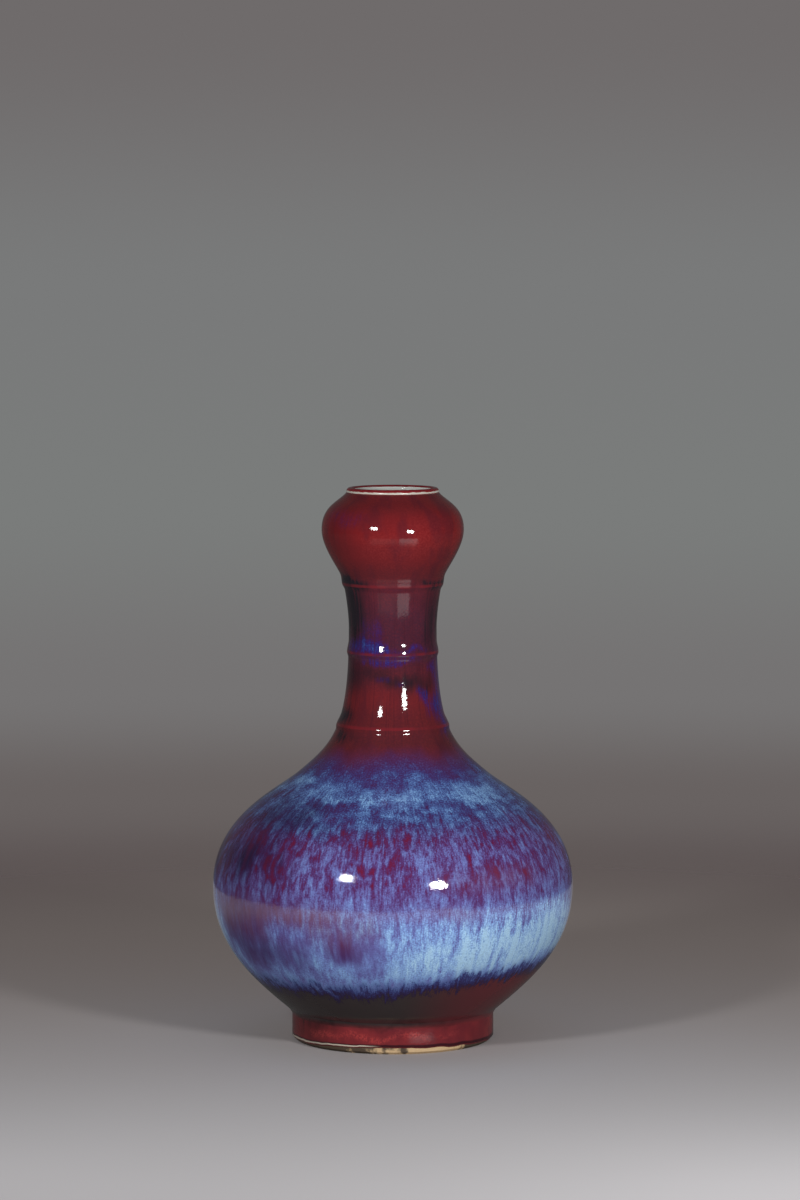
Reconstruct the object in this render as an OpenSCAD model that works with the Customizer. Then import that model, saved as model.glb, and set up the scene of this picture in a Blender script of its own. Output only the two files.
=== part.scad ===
// Garlic head vase in flambe glazed porcelain, all sizes in millimetres.
// Five thrown sections are stacked on the Z axis and luted with slip, and glaze coats cover them.
// The foot ring stands on the plane z = 0.

/* [Whole vase] */
// Height from the standing face to the top of the lip, of which the neck takes what the rest leaves
vase_h = 290; // [280:1:304]

/* [Foot] */
// Outer radius of the glazed foot ring
foot_r = 53; // [48:0.5:58]
// Height from the standing face to the corner under the belly
foot_h = 15; // [13:0.5:20]
// Length of the soft corner where the belly leaves the foot
foot_fillet = 1.6; // [0.8:0.2:2.4]
// Thickness of the foot ring's wall
foot_wall = 6.5; // [5:0.5:9]
// Widening of the ring's inner side towards the standing face
foot_splay = 1; // [0.4:0.2:2]
// Bevel on both edges of the standing face
foot_bevel = 1.2; // [0.6:0.1:2]
// Depth of the recess inside the ring
recess_depth = 9; // [7:0.5:11]
// Height of bare clay left between the standing face and the glaze
bare_h = 3.4; // [2.4:0.2:5]

/* [Belly] */
// Greatest radius of the belly
belly_r = 94.5; // [85:0.5:105]
// Rise from the foot's corner to the greatest radius
belly_rise = 66; // [55:1:80]
// Angle at which the belly leaves the foot, above level
belly_angle = 40; // [32:1:50]
// Radius where the shoulder turns from round to hollow
shoulder_r = 50; // [44:0.5:56]
// Rise from the greatest radius to that turn
shoulder_rise = 59; // [52:1:68]
// Steepness of the shoulder at that turn, above level
shoulder_angle = 40; // [34:1:48]

/* [Neck] */
// Radius of the neck at its waist
waist_r = 23; // [20:0.5:27]
// Radius where the neck opens into the garlic head
head_root_r = 26.6; // [25:0.2:30]
// Rise from the waist to that place
head_root_rise = 26; // [22:1:34]
// Steepness of the wall there, above level
head_root_angle = 71; // [60:1:80]

/* [Garlic head] */
// Greatest radius of the garlic head
head_r = 37.2; // [34:0.2:42]
// Rise from the head's root to its greatest radius
head_rise = 25; // [20:1:30]
// Rise from there to the top of the lip
crown_rise = 22; // [18:1:26]
// Steepness of the crown where it meets the lip, above level
crown_angle = 51; // [42:1:58]
// Clear radius of the mouth
mouth_r = 20.5; // [18:0.5:23]
// Thickness of the lip over both its glazes
lip_t = 3.7; // [3:0.1:4.4]

/* [Raised ribs] */
// Height of a rib above the wall
rib_h = 0.8; // [0.4:0.1:1.4]
// Width of a rib's long slope, above its crest
rib_above = 6.5; // [4:0.5:9]
// Width of a rib's short slope, below its crest
rib_below = 3; // [2:0.2:4.4]
// Rise from the shoulder's turn to the lower rib
lower_rib_rise = 26; // [20:1:34]
// Rise from the shoulder's turn to the middle rib
middle_rib_rise = 64; // [54:0.5:74]
// Drop from the head's root to the upper rib
upper_rib_drop = 3.4; // [2:0.2:8]

/* [Clay walls] */
// Wall where the belly leaves the foot
base_wall = 7; // [5:0.5:9]
// Wall at the belly's greatest radius
belly_wall = 5.5; // [4:0.5:7]
// Wall at the shoulder's turn
shoulder_wall = 5; // [4:0.5:7]
// Wall at the neck's waist
neck_wall = 4.4; // [3.4:0.2:6]
// Wall at the head's greatest radius
head_wall = 4.2; // [3.4:0.2:6]
// Thickness of the floor over the recess
floor_t = 7; // [5:0.5:9]

/* [Luted joints] */
// Thickness of the slip in a joint
slip_t = 0.8; // [0.4:0.1:1.2]
// Slope of the joint faces, so that each section centres on the one below
joint_slope = 20; // [10:1:28]
// Gap from a rib's edge to the joint above it
joint_gap = 0.6; // [0.4:0.1:1.2]

/* [Glaze] */
// Thickness of the outer glaze, both layers together
glaze_t = 0.6; // [0.5:0.05:0.9]
// Thickness of the blue layer that ran over the red one
flow_t = 0.3; // [0.2:0.05:0.4]
// Width over which each edge of the blue layer thins out
flow_edge = 6; // [3:1:9]
// Rise from the foot's corner to the lower edge of the blue layer
flow_start = 26; // [18:1:34]
// Drop from the lower rib to the upper edge of the blue layer
flow_drop = 19; // [12:1:26]
// Thickness of the white lining
lining_t = 0.5; // [0.4:0.05:0.7]
// Thickness of the brown glaze in the recess
base_glaze_t = 0.4; // [0.3:0.05:0.6]
// Angle on the lip where the white line ends and the red crest begins
line_end = 20; // [12:1:36]
// Angle on the lip where the red crest ends and the white lining begins
crest_end = 150; // [130:1:165]

/* [Fullness of the curves] */
// Pull of the belly's curve at the foot, as a share of its rise
belly_low_pull = 0.45; // [0.35:0.01:0.55]
// Pull of the belly's curve below its greatest radius
belly_mid_pull = 0.46; // [0.36:0.01:0.56]
// Pull of the shoulder's curve above the greatest radius
shoulder_low_pull = 0.6; // [0.5:0.01:0.7]
// Pull of the shoulder's curve below its turn
shoulder_top_pull = 0.26; // [0.18:0.01:0.34]
// Pull of the neck's curve above the shoulder's turn
neck_low_pull = 0.32; // [0.24:0.01:0.38]
// Pull of the neck's curve below its waist
neck_mid_pull = 0.7; // [0.6:0.01:0.78]
// Pull of the neck's curve above its waist
neck_top_pull = 0.28; // [0.2:0.01:0.38]
// Pull on both sides of the head's root
head_root_pull = 0.2; // [0.12:0.01:0.28]
// Pull of the head's curve below its greatest radius
head_mid_pull = 0.37; // [0.3:0.01:0.48]
// Pull of the crown's curve above the greatest radius
crown_low_pull = 0.64; // [0.56:0.01:0.72]
// Pull of the crown's curve below the lip
crown_top_pull = 0.32; // [0.24:0.01:0.4]

/* [Smoothness] */
// Steps in each curve of the outline
curve_steps = 12; // [8:1:18]
// Steps in each slope of a rib
rib_steps = 5; // [3:1:7]

/* [Hidden] */
$fn = 96;

porcelain = "#e9e2d2";
slip_grey = "#cdc3b1";
copper_red = "#6f1a22";
flow_blue = "#5a6ba6";
rim_white = "#e6e5da";
crest_red = "#6a141b";
lining_white = "#dfe2df";
base_brown = "#7a5a3a";

// Levels up the axis, from the foot to the shoulder and from the lip down to the neck's waist
belly_z = foot_h + belly_rise;
shoulder_z = belly_z + shoulder_rise;
head_z = vase_h - crown_rise;
head_root_z = head_z - head_rise;
waist_z = head_root_z - head_root_rise;
floor_z = recess_depth + floor_t;
lower_rib_z = shoulder_z + lower_rib_rise;
middle_rib_z = shoulder_z + middle_rib_rise;
upper_rib_z = head_root_z - upper_rib_drop;
rib_levels = [lower_rib_z, middle_rib_z, upper_rib_z];
flow_low_z = foot_h + flow_start;
flow_top_z = lower_rib_z - flow_drop;

// The lip is a round bead between the angles where the crown and the mouth's straight wall meet it
lip_root = -20;
lip_inside = 180;
lip_core_r = (lip_t - glaze_t - lining_t) / 2;
crest_glaze_t = lip_glaze_t(90);
lip_centre = [mouth_r + lining_t + lip_core_r, vase_h - crest_glaze_t - lip_core_r];
lip_steps = 6;

// Steps in the soft corners at the foot and at the heel of the hollow
corner_steps = 4;

// Clay radii of the foot ring
foot_clay_r = foot_r - glaze_t;
beyond = 20;

function mix(a, b, t) = a + (b - a) * t;
function aim(p, angle, reach) = p + reach * [cos(angle), sin(angle)];
function reversed(path) = [for (i = [len(path) - 1:-1:0]) path[i]];
function bezier(p, steps) = [
  for (i = [0:steps - 1])
    let (t = i / steps, u = 1 - t)
      u * u * u * p[0] + 3 * u * u * t * p[1] + 3 * u * t * t * p[2] + t * t * t * p[3]
];

// A curve from a to b that leaves and arrives at the given angles
function curve(a, leave, leave_pull, b, arrive, arrive_pull) =
  let (rise = b.y - a.y)
    bezier([a, aim(a, leave, leave_pull * rise), aim(b, arrive + 180, arrive_pull * rise), b], curve_steps);

// The side of a path that faces right when it is walked from its first point to its last
function facing(path, i) =
  let (step = path[min(i + 1, len(path) - 1)] - path[max(i - 1, 0)])
    [step.y, -step.x] / norm(step);
function inset(path, depth) = [for (i = [0:len(path) - 1]) path[i] - depth * facing(path, i)];

// Thickness of glaze round the lip, from the outer coat to the lining
function lip_glaze_t(angle) = mix(glaze_t, lining_t, (angle - lip_root) / (lip_inside - lip_root));
function lip_skin(angle) = aim(lip_centre, angle, lip_core_r + lip_glaze_t(angle));
function lip_clay(angle) = aim(lip_centre, angle, lip_core_r);
function lip_angles(from, to) = [for (i = [0:lip_steps]) mix(from, to, i / lip_steps)];

// Outer outline of the glazed vase from the foot's corner to the lip, without the ribs
foot_corner = [foot_r, foot_h];
belly_start = aim(foot_corner, belly_angle, foot_fillet);
belly_widest = [belly_r, belly_z];
shoulder_turn = [shoulder_r, shoulder_z];
waist = [waist_r, waist_z];
head_root = [head_root_r, head_root_z];
head_widest = [head_r, head_z];
plain_outline = concat(
  bezier([[foot_r, foot_h - foot_fillet], foot_corner, foot_corner, belly_start], corner_steps),
  curve(belly_start, belly_angle, belly_low_pull, belly_widest, 90, belly_mid_pull),
  curve(belly_widest, 90, shoulder_low_pull, shoulder_turn, 180 - shoulder_angle, shoulder_top_pull),
  curve(shoulder_turn, 180 - shoulder_angle, neck_low_pull, waist, 90, neck_mid_pull),
  curve(waist, 90, neck_top_pull, head_root, head_root_angle, head_root_pull),
  curve(head_root, head_root_angle, head_root_pull, head_widest, 90, head_mid_pull),
  curve(head_widest, 90, crown_low_pull, lip_skin(lip_root), 180 - crown_angle, crown_top_pull)
);

// Levels at which the outline has a point: those of its curves, of the ribs and of the blue layer's edges
radius_at_level = [for (p = plain_outline) [p.y, p.x]];
level_gap = 0.2;
flow_levels = [flow_low_z, flow_low_z + flow_edge, flow_top_z - flow_edge, flow_top_z];
function sorted(list) =
  len(list) < 2 ? list :
  let (pivot = list[floor(len(list) / 2)])
    concat(
      sorted([for (v = list) if (v < pivot) v]),
      [for (v = list) if (v == pivot) v],
      sorted([for (v = list) if (v > pivot) v])
    );
function on_rib(offset) = abs(offset) < rib_slope(offset) + level_gap;
function clear_of_ribs(z) = len([for (level = rib_levels) if (on_rib(z - level)) level]) == 0;
function clear_of_edges(z) = min([for (level = flow_levels) abs(z - level)]) > level_gap;
outline_levels = sorted(concat(
  [for (p = plain_outline) if (clear_of_ribs(p.y) && clear_of_edges(p.y)) p.y],
  [for (level = rib_levels, i = [-rib_steps:rib_steps]) level + rib_slope(i) * i / rib_steps],
  flow_levels
));

// A rib swells from the wall and sinks back into it, and the blue layer thins out at both its edges
function rib_slope(offset) = offset < 0 ? rib_below : rib_above;
function swell(offset) =
  let (share = abs(offset) / rib_slope(offset))
    share < 1 ? rib_h * (1 + cos(180 * share)) / 2 : 0;
function rib_lift(z) = max([for (level = rib_levels) swell(z - level)]);
function flow_depth(z) = flow_t * max(0, min(1, (z - flow_low_z) / flow_edge, (flow_top_z - z) / flow_edge));
ribbed_outline = [for (z = outline_levels) [lookup(z, radius_at_level) + rib_lift(z), z]];

// Outer face of the glaze and of the clay, point for point, from the glaze's lower edge to the lip
skin = concat([[foot_r, bare_h + glaze_t]], ribbed_outline, [lip_skin(lip_root)]);
clay_skin = inset(concat([[foot_r, bare_h]], ribbed_outline), glaze_t);
clay_outside = concat(clay_skin, [lip_clay(lip_root)]);

// Inner face of the clay from the lip down to the middle of the floor
wall_at_level = [
  [foot_h, base_wall], [belly_z, belly_wall], [shoulder_z, shoulder_wall],
  [waist_z, neck_wall], [head_z, head_wall]
];
land_r = mouth_r + lining_t;
heel_margin = 3;
hollow = [
  for (i = [len(plain_outline) - 1:-1:0])
    let (
      depth = glaze_t + lookup(plain_outline[i].y, wall_at_level),
      p = plain_outline[i] - depth * facing(plain_outline, i)
    )
      if (p.y > floor_z + heel_margin && (p.y < head_z || p.x > land_r + level_gap)) p
];
land_low = [land_r, hollow[0].y + (hollow[0].x - land_r) * tan(crown_angle)];
heel_top = hollow[len(hollow) - 1];
heel_step = hollow[len(hollow) - 2] - heel_top;
heel = [heel_top.x - (heel_top.y - floor_z) * heel_step.x / heel_step.y, floor_z];
heel_in = heel - [norm(heel_top - heel), 0];
clay_inside = concat(
  [[land_r, lip_centre.y], land_low],
  [for (i = [0:len(hollow) - 2]) hollow[i]],
  bezier([heel_top, heel, heel, heel_in], corner_steps),
  [heel_in, [0, floor_z]]
);

// Inner face of the lining, point for point with the clay behind it
lining_face = [
  for (i = [0:len(clay_inside) - 1])
    i < 2 ? [mouth_r, clay_inside[i].y] : clay_inside[i] + lining_t * facing(clay_inside, i)
];

// Inner side of the foot ring, which widens towards the standing face
function ring_inner_r(z) = foot_clay_r - foot_wall + foot_splay * (1 - z / recess_depth);

// Cross-section of all the clay in the vase
clay_section = concat(
  [[0, recess_depth], [ring_inner_r(recess_depth), recess_depth], [ring_inner_r(foot_bevel), foot_bevel]],
  [[ring_inner_r(0) + foot_bevel, 0], [foot_clay_r - foot_bevel, 0], [foot_clay_r, foot_bevel]],
  clay_outside,
  [for (a = lip_angles(lip_root, lip_inside)) if (a > lip_root && a < lip_inside) lip_clay(a)],
  clay_inside
);

// A joint is a sloped line through a point of the outer wall, with slip on both sides of it
function joint(level, slope) = [lookup(level, radius_at_level), level, tan(slope)];
function joint_level(j, r, side) = j[1] + (r - j[0]) * j[2] + side * slip_t / 2;
foot_joint = joint(recess_depth - slip_t / 2, 0);
belly_joint = joint(belly_z, joint_slope);
neck_joint = joint(lower_rib_z + rib_above + joint_gap, joint_slope);
head_joint = joint(upper_rib_z + rib_above + joint_gap, joint_slope);
below_all = joint(-beyond, 0);
above_all = joint(vase_h + beyond, 0);

// The clay between one side of a joint and one side of the joint above it
module clay_between(low, low_side, high, high_side) {
  reach = max(belly_r, foot_r, head_r) + beyond;
  rotate_extrude() intersection() {
    polygon(clay_section);
    polygon([
      [0, joint_level(low, 0, low_side)], [reach, joint_level(low, reach, low_side)],
      [reach, joint_level(high, reach, high_side)], [0, joint_level(high, 0, high_side)]
    ]);
  }
}

// A coat of glaze between the clay and an outer face that follows it
module coat(clay_face, glaze_face) {
  rotate_extrude() polygon(concat(glaze_face, reversed(clay_face)));
}

module foot_ring() color(porcelain) clay_between(below_all, 1, foot_joint, -1);
module lower_body() color(porcelain) clay_between(foot_joint, 1, belly_joint, -1);
module shoulder() color(porcelain) clay_between(belly_joint, 1, neck_joint, -1);
module neck() color(porcelain) clay_between(neck_joint, 1, head_joint, -1);
module garlic_head() color(porcelain) clay_between(head_joint, 1, above_all, -1);
module joint_slip(j) color(slip_grey) clay_between(j, -1, j, 1);

// The blue layer lies in a bed that the red one leaves between two levels
red_face = [for (i = [0:len(skin) - 1]) skin[i] - flow_depth(skin[i].y) * facing(skin, i)];
flow_from = search(flow_low_z, [for (p = skin) p.y])[0];
flow_to = search(flow_top_z, [for (p = skin) p.y])[0];

module red_glaze() color(copper_red) coat(clay_outside, red_face);
module blue_flow_glaze() color(flow_blue) coat(
  [for (i = [flow_from + 1:flow_to - 1]) red_face[i]],
  [for (i = [flow_from:flow_to]) skin[i]]
);

// Three coats meet on the lip: the drained white line, the red crest and the lining
module lip_coat(from, to) {
  angles = lip_angles(from, to);
  coat([for (a = angles) lip_clay(a)], [for (a = angles) lip_skin(a)]);
}
module white_rim_line() color(rim_white) lip_coat(lip_root, line_end);
module lip_glaze() color(crest_red) lip_coat(line_end, crest_end);
module inner_glaze() color(lining_white) {
  angles = [for (a = lip_angles(crest_end, lip_inside)) if (a < lip_inside) a];
  coat(
    concat([for (a = angles) lip_clay(a)], clay_inside),
    concat([for (a = angles) lip_skin(a)], lining_face)
  );
}

// Brown glaze over the ceiling of the recess and down the inner side of the ring
module base_glaze() {
  ceiling = recess_depth - base_glaze_t;
  color(base_brown) rotate_extrude() polygon([
    [0, recess_depth], [0, ceiling], [ring_inner_r(ceiling) - base_glaze_t, ceiling],
    [ring_inner_r(bare_h + base_glaze_t) - base_glaze_t, bare_h + base_glaze_t],
    [ring_inner_r(bare_h), bare_h], [ring_inner_r(recess_depth), recess_depth]
  ]);
}

foot_ring();
lower_body();
shoulder();
neck();
garlic_head();
joint_slip(foot_joint);  // foot_joint_slip
joint_slip(belly_joint);  // belly_joint_slip
joint_slip(neck_joint);  // neck_joint_slip
joint_slip(head_joint);  // head_joint_slip
red_glaze();
blue_flow_glaze();
white_rim_line();
lip_glaze();
inner_glaze();
base_glaze();
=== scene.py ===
"""Looks of a garlic head vase in flambe glaze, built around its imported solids.

All sizes are in metres, in the frame of the solids: Z runs up the axis, the foot stands on z = 0
and the side that the camera sees faces -Y. An azimuth of 0 is that side, and right is positive.
"""

from __future__ import annotations

import logging
import math
from dataclasses import dataclass, field
from enum import Enum
from functools import partial, reduce
from typing import Callable, Sequence, Union

import bpy
import bmesh
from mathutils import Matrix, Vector


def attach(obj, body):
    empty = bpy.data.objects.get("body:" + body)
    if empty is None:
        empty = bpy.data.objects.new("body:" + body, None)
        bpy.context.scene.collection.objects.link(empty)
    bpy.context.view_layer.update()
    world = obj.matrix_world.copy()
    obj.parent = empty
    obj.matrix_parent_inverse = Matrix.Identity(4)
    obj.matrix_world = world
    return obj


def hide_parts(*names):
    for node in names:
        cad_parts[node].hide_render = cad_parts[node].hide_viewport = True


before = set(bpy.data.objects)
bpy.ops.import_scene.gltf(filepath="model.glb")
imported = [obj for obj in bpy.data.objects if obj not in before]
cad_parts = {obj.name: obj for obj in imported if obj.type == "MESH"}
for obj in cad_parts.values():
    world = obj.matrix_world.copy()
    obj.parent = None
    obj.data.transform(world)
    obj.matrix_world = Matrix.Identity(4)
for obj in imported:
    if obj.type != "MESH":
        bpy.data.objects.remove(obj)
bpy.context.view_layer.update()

LOG = logging.getLogger("garlic_head_vase")
BODY = "root"
MM = 0.001
UPRIGHT = 90.0

Point = tuple[float, float]
Span = tuple[float, float]
Socket = bpy.types.NodeSocket
Value = Union[Socket, float]
Colour = tuple[float, float, float, float]
Paint = Union[Socket, Colour, str]
Stops = Sequence[tuple[float, Union[str, float]]]


def srgb(code: str) -> Colour:
    """Reads a colour.

    Args:
        code: six-digit sRGB code.

    Returns:
        The linear colour.
    """
    parts = [int(code[i:i + 2], 16) / 255 for i in (0, 2, 4)]
    linear = [c / 12.92 if c <= 0.04045 else ((c + 0.055) / 1.055) ** 2.4 for c in parts]
    return (*linear, 1.0)


def facing(azimuth: float) -> Vector:
    """Level direction of an azimuth in degrees, as seen from the axis."""
    return Vector((math.sin(math.radians(azimuth)), -math.cos(math.radians(azimuth)), 0.0))


class Slot(Enum):
    """Material slots of the record, which no piece in this script is given."""

    PORCELAIN = "porcelain"
    RED_FLAMBE = "red_flambe"
    WHITE_RIM = "white_rim"
    RED_LIP = "red_lip"
    WHITE_LINING = "white_lining"
    BROWN_BASE = "brown_base"


class Graph:
    """Node tree of a material or of the world, with short calls for the nodes that finishes share."""

    def __init__(self, tree: bpy.types.NodeTree) -> None:
        """Empties a tree for new nodes."""
        self.tree = tree
        tree.nodes.clear()

    def node(self, kind: str, *values: object, **settings: object) -> bpy.types.Node:
        """Adds a node.

        Args:
            kind: node type without the ShaderNode prefix.
            values: what its first inputs get, in order.
            settings: properties of the node.

        Returns:
            The new node.
        """
        made = self.tree.nodes.new("ShaderNode" + kind)
        for name, value in settings.items():
            setattr(made, name, value)
        for socket, value in zip(made.inputs, values):
            self.feed(socket, value)
        return made

    def feed(self, socket: Socket, value: object) -> None:
        """Fills an input.

        Args:
            socket: the input.
            value: a socket to link it to, a colour code or a constant.
        """
        if isinstance(value, bpy.types.NodeSocket):
            self.tree.links.new(value, socket)
        else:
            socket.default_value = srgb(value) if isinstance(value, str) else value

    def fill(self, node: bpy.types.Node, values: dict[str, object]) -> None:
        """Fills inputs of a node by their names."""
        for name, value in values.items():
            self.feed(node.inputs[name], value)

    def math(self, operation: str, *values: Value, clamp: bool = False) -> Socket:
        """Result of a Math node."""
        return self.node("Math", *values, operation=operation, use_clamp=clamp).outputs[0]

    def total(self, *values: Value) -> Socket:
        """Sum of several numbers."""
        return reduce(partial(self.math, "ADD"), values)

    def times(self, *values: Value) -> Socket:
        """Product of several numbers."""
        return reduce(partial(self.math, "MULTIPLY"), values)

    def less(self, value: Value, part: Value) -> Socket:
        """A number less another one."""
        return self.math("SUBTRACT", value, part)

    def vector(self, operation: str, *values: object, output: str = "Vector") -> Socket:
        """Result of a Vector Math node."""
        return self.node("VectorMath", *values, operation=operation).outputs[output]

    def split(self, value: Socket) -> list[Socket]:
        """The three parts of a vector."""
        return list(self.node("SeparateXYZ", value).outputs)

    def join(self, x: Value, y: Value, z: Value) -> Socket:
        """A vector of three numbers."""
        return self.node("CombineXYZ", x, y, z).outputs[0]

    def grey(self, value: Socket) -> Socket:
        """A number as a grey colour."""
        return self.join(value, value, value)

    def towards(self, heading: Socket, azimuth: float) -> Socket:
        """Cosine of the angle between a direction and an azimuth."""
        return self.vector("DOT_PRODUCT", heading, facing(azimuth), output="Value")

    def noise(self, where: Socket, scale: float = 1.0, detail: float = 2.0, rough: float = 0.5,
              wander: float = 0.0, output: str = "Fac") -> Socket:
        """Soft random field between 0 and 1.

        Args:
            where: place that is looked up.
            scale: how fine the field is.
            detail: octaves of the field.
            rough: strength of the finer octaves.
            wander: how far the field is bent.
            output: Fac for one number, Color for three.

        Returns:
            The field.
        """
        made = self.node("TexNoise")
        self.fill(made, {"Vector": where, "Scale": scale, "Detail": detail, "Roughness": rough,
                         "Distortion": wander})
        return made.outputs[output]

    def drift(self, where: Socket, *settings: float) -> Socket:
        """Soft random field round zero."""
        return self.less(self.noise(where, *settings), 0.5)

    def rise(self, value: Value, low: float, high: float, to_low: float = 0.0,
             to_high: float = 1.0) -> Socket:
        """Smooth step of a number from one level to another.

        Args:
            value: the number.
            low: where the step begins, which may lie above its end.
            high: where the step ends.
            to_low: result before the step.
            to_high: result after the step.

        Returns:
            The result.
        """
        made = self.node("MapRange", interpolation_type="SMOOTHSTEP", clamp=True)
        self.fill(made, {"Value": value, "From Min": low, "From Max": high, "To Min": to_low,
                         "To Max": to_high})
        return made.outputs["Result"]

    def between(self, value: Value, start: Span, end: Span) -> Socket:
        """1 within a stretch with soft ends, and 0 outside."""
        return self.times(self.rise(value, *start), self.rise(value, *end))

    def ramp(self, share: Socket, stops: Stops, ease: str = "LINEAR") -> Socket:
        """Colour along a ramp.

        Args:
            share: place on the ramp, from 0 to 1.
            stops: places in rising order, each with its colour code or grey value.
            ease: how the ramp goes between stops.

        Returns:
            The colour at that place.
        """
        made = self.node("ValToRGB", share)
        band = made.color_ramp
        band.interpolation = ease
        while len(band.elements) < len(stops):
            band.elements.new(0.5)
        for element, (place, tone) in zip(band.elements, stops):
            element.position = place
            element.color = srgb(tone) if isinstance(tone, str) else (tone, tone, tone, 1.0)
        return made.outputs["Color"]

    def levels(self, height: Socket, top: float, stops: Stops, ease: str = "EASE") -> Socket:
        """Colour by height.

        Args:
            height: height above the standing face.
            top: height at the end of the ramp.
            stops: heights in millimetres, each with its colour code or grey value.
            ease: how the ramp goes between stops.

        Returns:
            The colour at that height.
        """
        shares = [(z * MM / top, tone) for z, tone in stops]
        return self.ramp(self.math("DIVIDE", height, top), shares, ease)

    def blend(self, share: Value, first: Paint, second: Paint) -> Socket:
        """Mix of two colours.

        Args:
            share: share of the second colour.
            first: first colour.
            second: second colour.

        Returns:
            The mixed colour.
        """
        made = self.node("Mix", data_type="RGBA", blend_type="MIX", clamp_factor=True)
        self.feed(made.inputs["Factor"], share)
        for name, paint in (("A", first), ("B", second)):
            self.feed(next(s for s in made.inputs if s.name == name and s.type == "RGBA"), paint)
        return next(s for s in made.outputs if s.type == "RGBA")


class Tint(Enum):
    """What a mark in the glaze brings."""

    BLUE = "blue"
    RUST = "rust"
    # Dark glaze runs, and painted shade where these marks darken creases, the sides and the left
    SOOT_AND_SHADE = "soot_and_shade"
    FLAME = "flame"


@dataclass(frozen=True)
class Mark:
    """A soft patch in the glaze.

    Attributes:
        azimuth: direction of its middle in degrees.
        height: height of its middle in millimetres.
        width: half its width in degrees.
        reach: half its height in millimetres.
        gain: strength of its tint, negative where it takes tint away.
    """

    azimuth: float
    height: float
    width: float
    reach: float
    gain: float


@dataclass(frozen=True)
class Finish:
    """A procedural surface.

    Attributes:
        name: name of the material.
        gloss: roughness of the surface.
        ior: index of refraction of the surface.
    """

    name: str
    gloss: float = 0.05
    ior: float = 1.5

    def colour(self, graph: Graph) -> Socket:
        """Builds the nodes that colour the surface, and returns their colour."""
        raise NotImplementedError

    def relief(self, graph: Graph) -> tuple[Socket, float] | None:
        """Builds the nodes for fine relief, and returns its field and depth where there is one."""
        return None

    def material(self) -> bpy.types.Material:
        """Makes the Blender material of this finish.

        Returns:
            The material, with its nodes built.
        """
        made = bpy.data.materials.new(self.name)
        made.use_nodes = True
        graph = Graph(made.node_tree)
        surface = graph.node("BsdfPrincipled")
        graph.node("OutputMaterial", surface.outputs["BSDF"])
        graph.fill(surface, {"Roughness": self.gloss, "IOR": self.ior, "Base Color": self.colour(graph)})
        relief = self.relief(graph)
        if relief is not None:
            height, depth = relief
            bump = graph.node("Bump")
            graph.fill(bump, {"Strength": 1.0, "Distance": depth, "Height": height})
            graph.feed(surface.inputs["Normal"], bump.outputs["Normal"])
        return made

    @staticmethod
    def place(graph: Graph) -> Socket:
        """Object coordinates."""
        return graph.node("TexCoord").outputs["Object"]

    @staticmethod
    def attribute(graph: Graph, name: str) -> Socket:
        """A number that the mesh carries on its points."""
        return graph.node("Attribute", attribute_name=name).outputs["Fac"]


@dataclass(frozen=True)
class Lie:
    """Sockets that tell where a point of the outer face lies.

    Attributes:
        place: object coordinates.
        heading: level direction from the axis.
        aside: sideways part of that direction, 1 at the right.
        height: height above the standing face.
        girth: place on a drum as wide as the belly, whose height is the run along the outline.
    """

    place: Socket
    heading: Socket
    aside: Socket
    height: Socket
    girth: tuple[Socket, Socket, Socket]


@dataclass(frozen=True)
class Strand:
    """Form of the strands in a random field that is drawn out along the flow.

    Attributes:
        width: width of a strand in millimetres.
        length: length of a strand in millimetres.
        detail: octaves of the field.
        wander: how far the strands wave.
    """

    width: float
    length: float
    detail: float = 1.0
    wander: float = 0.0


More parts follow.
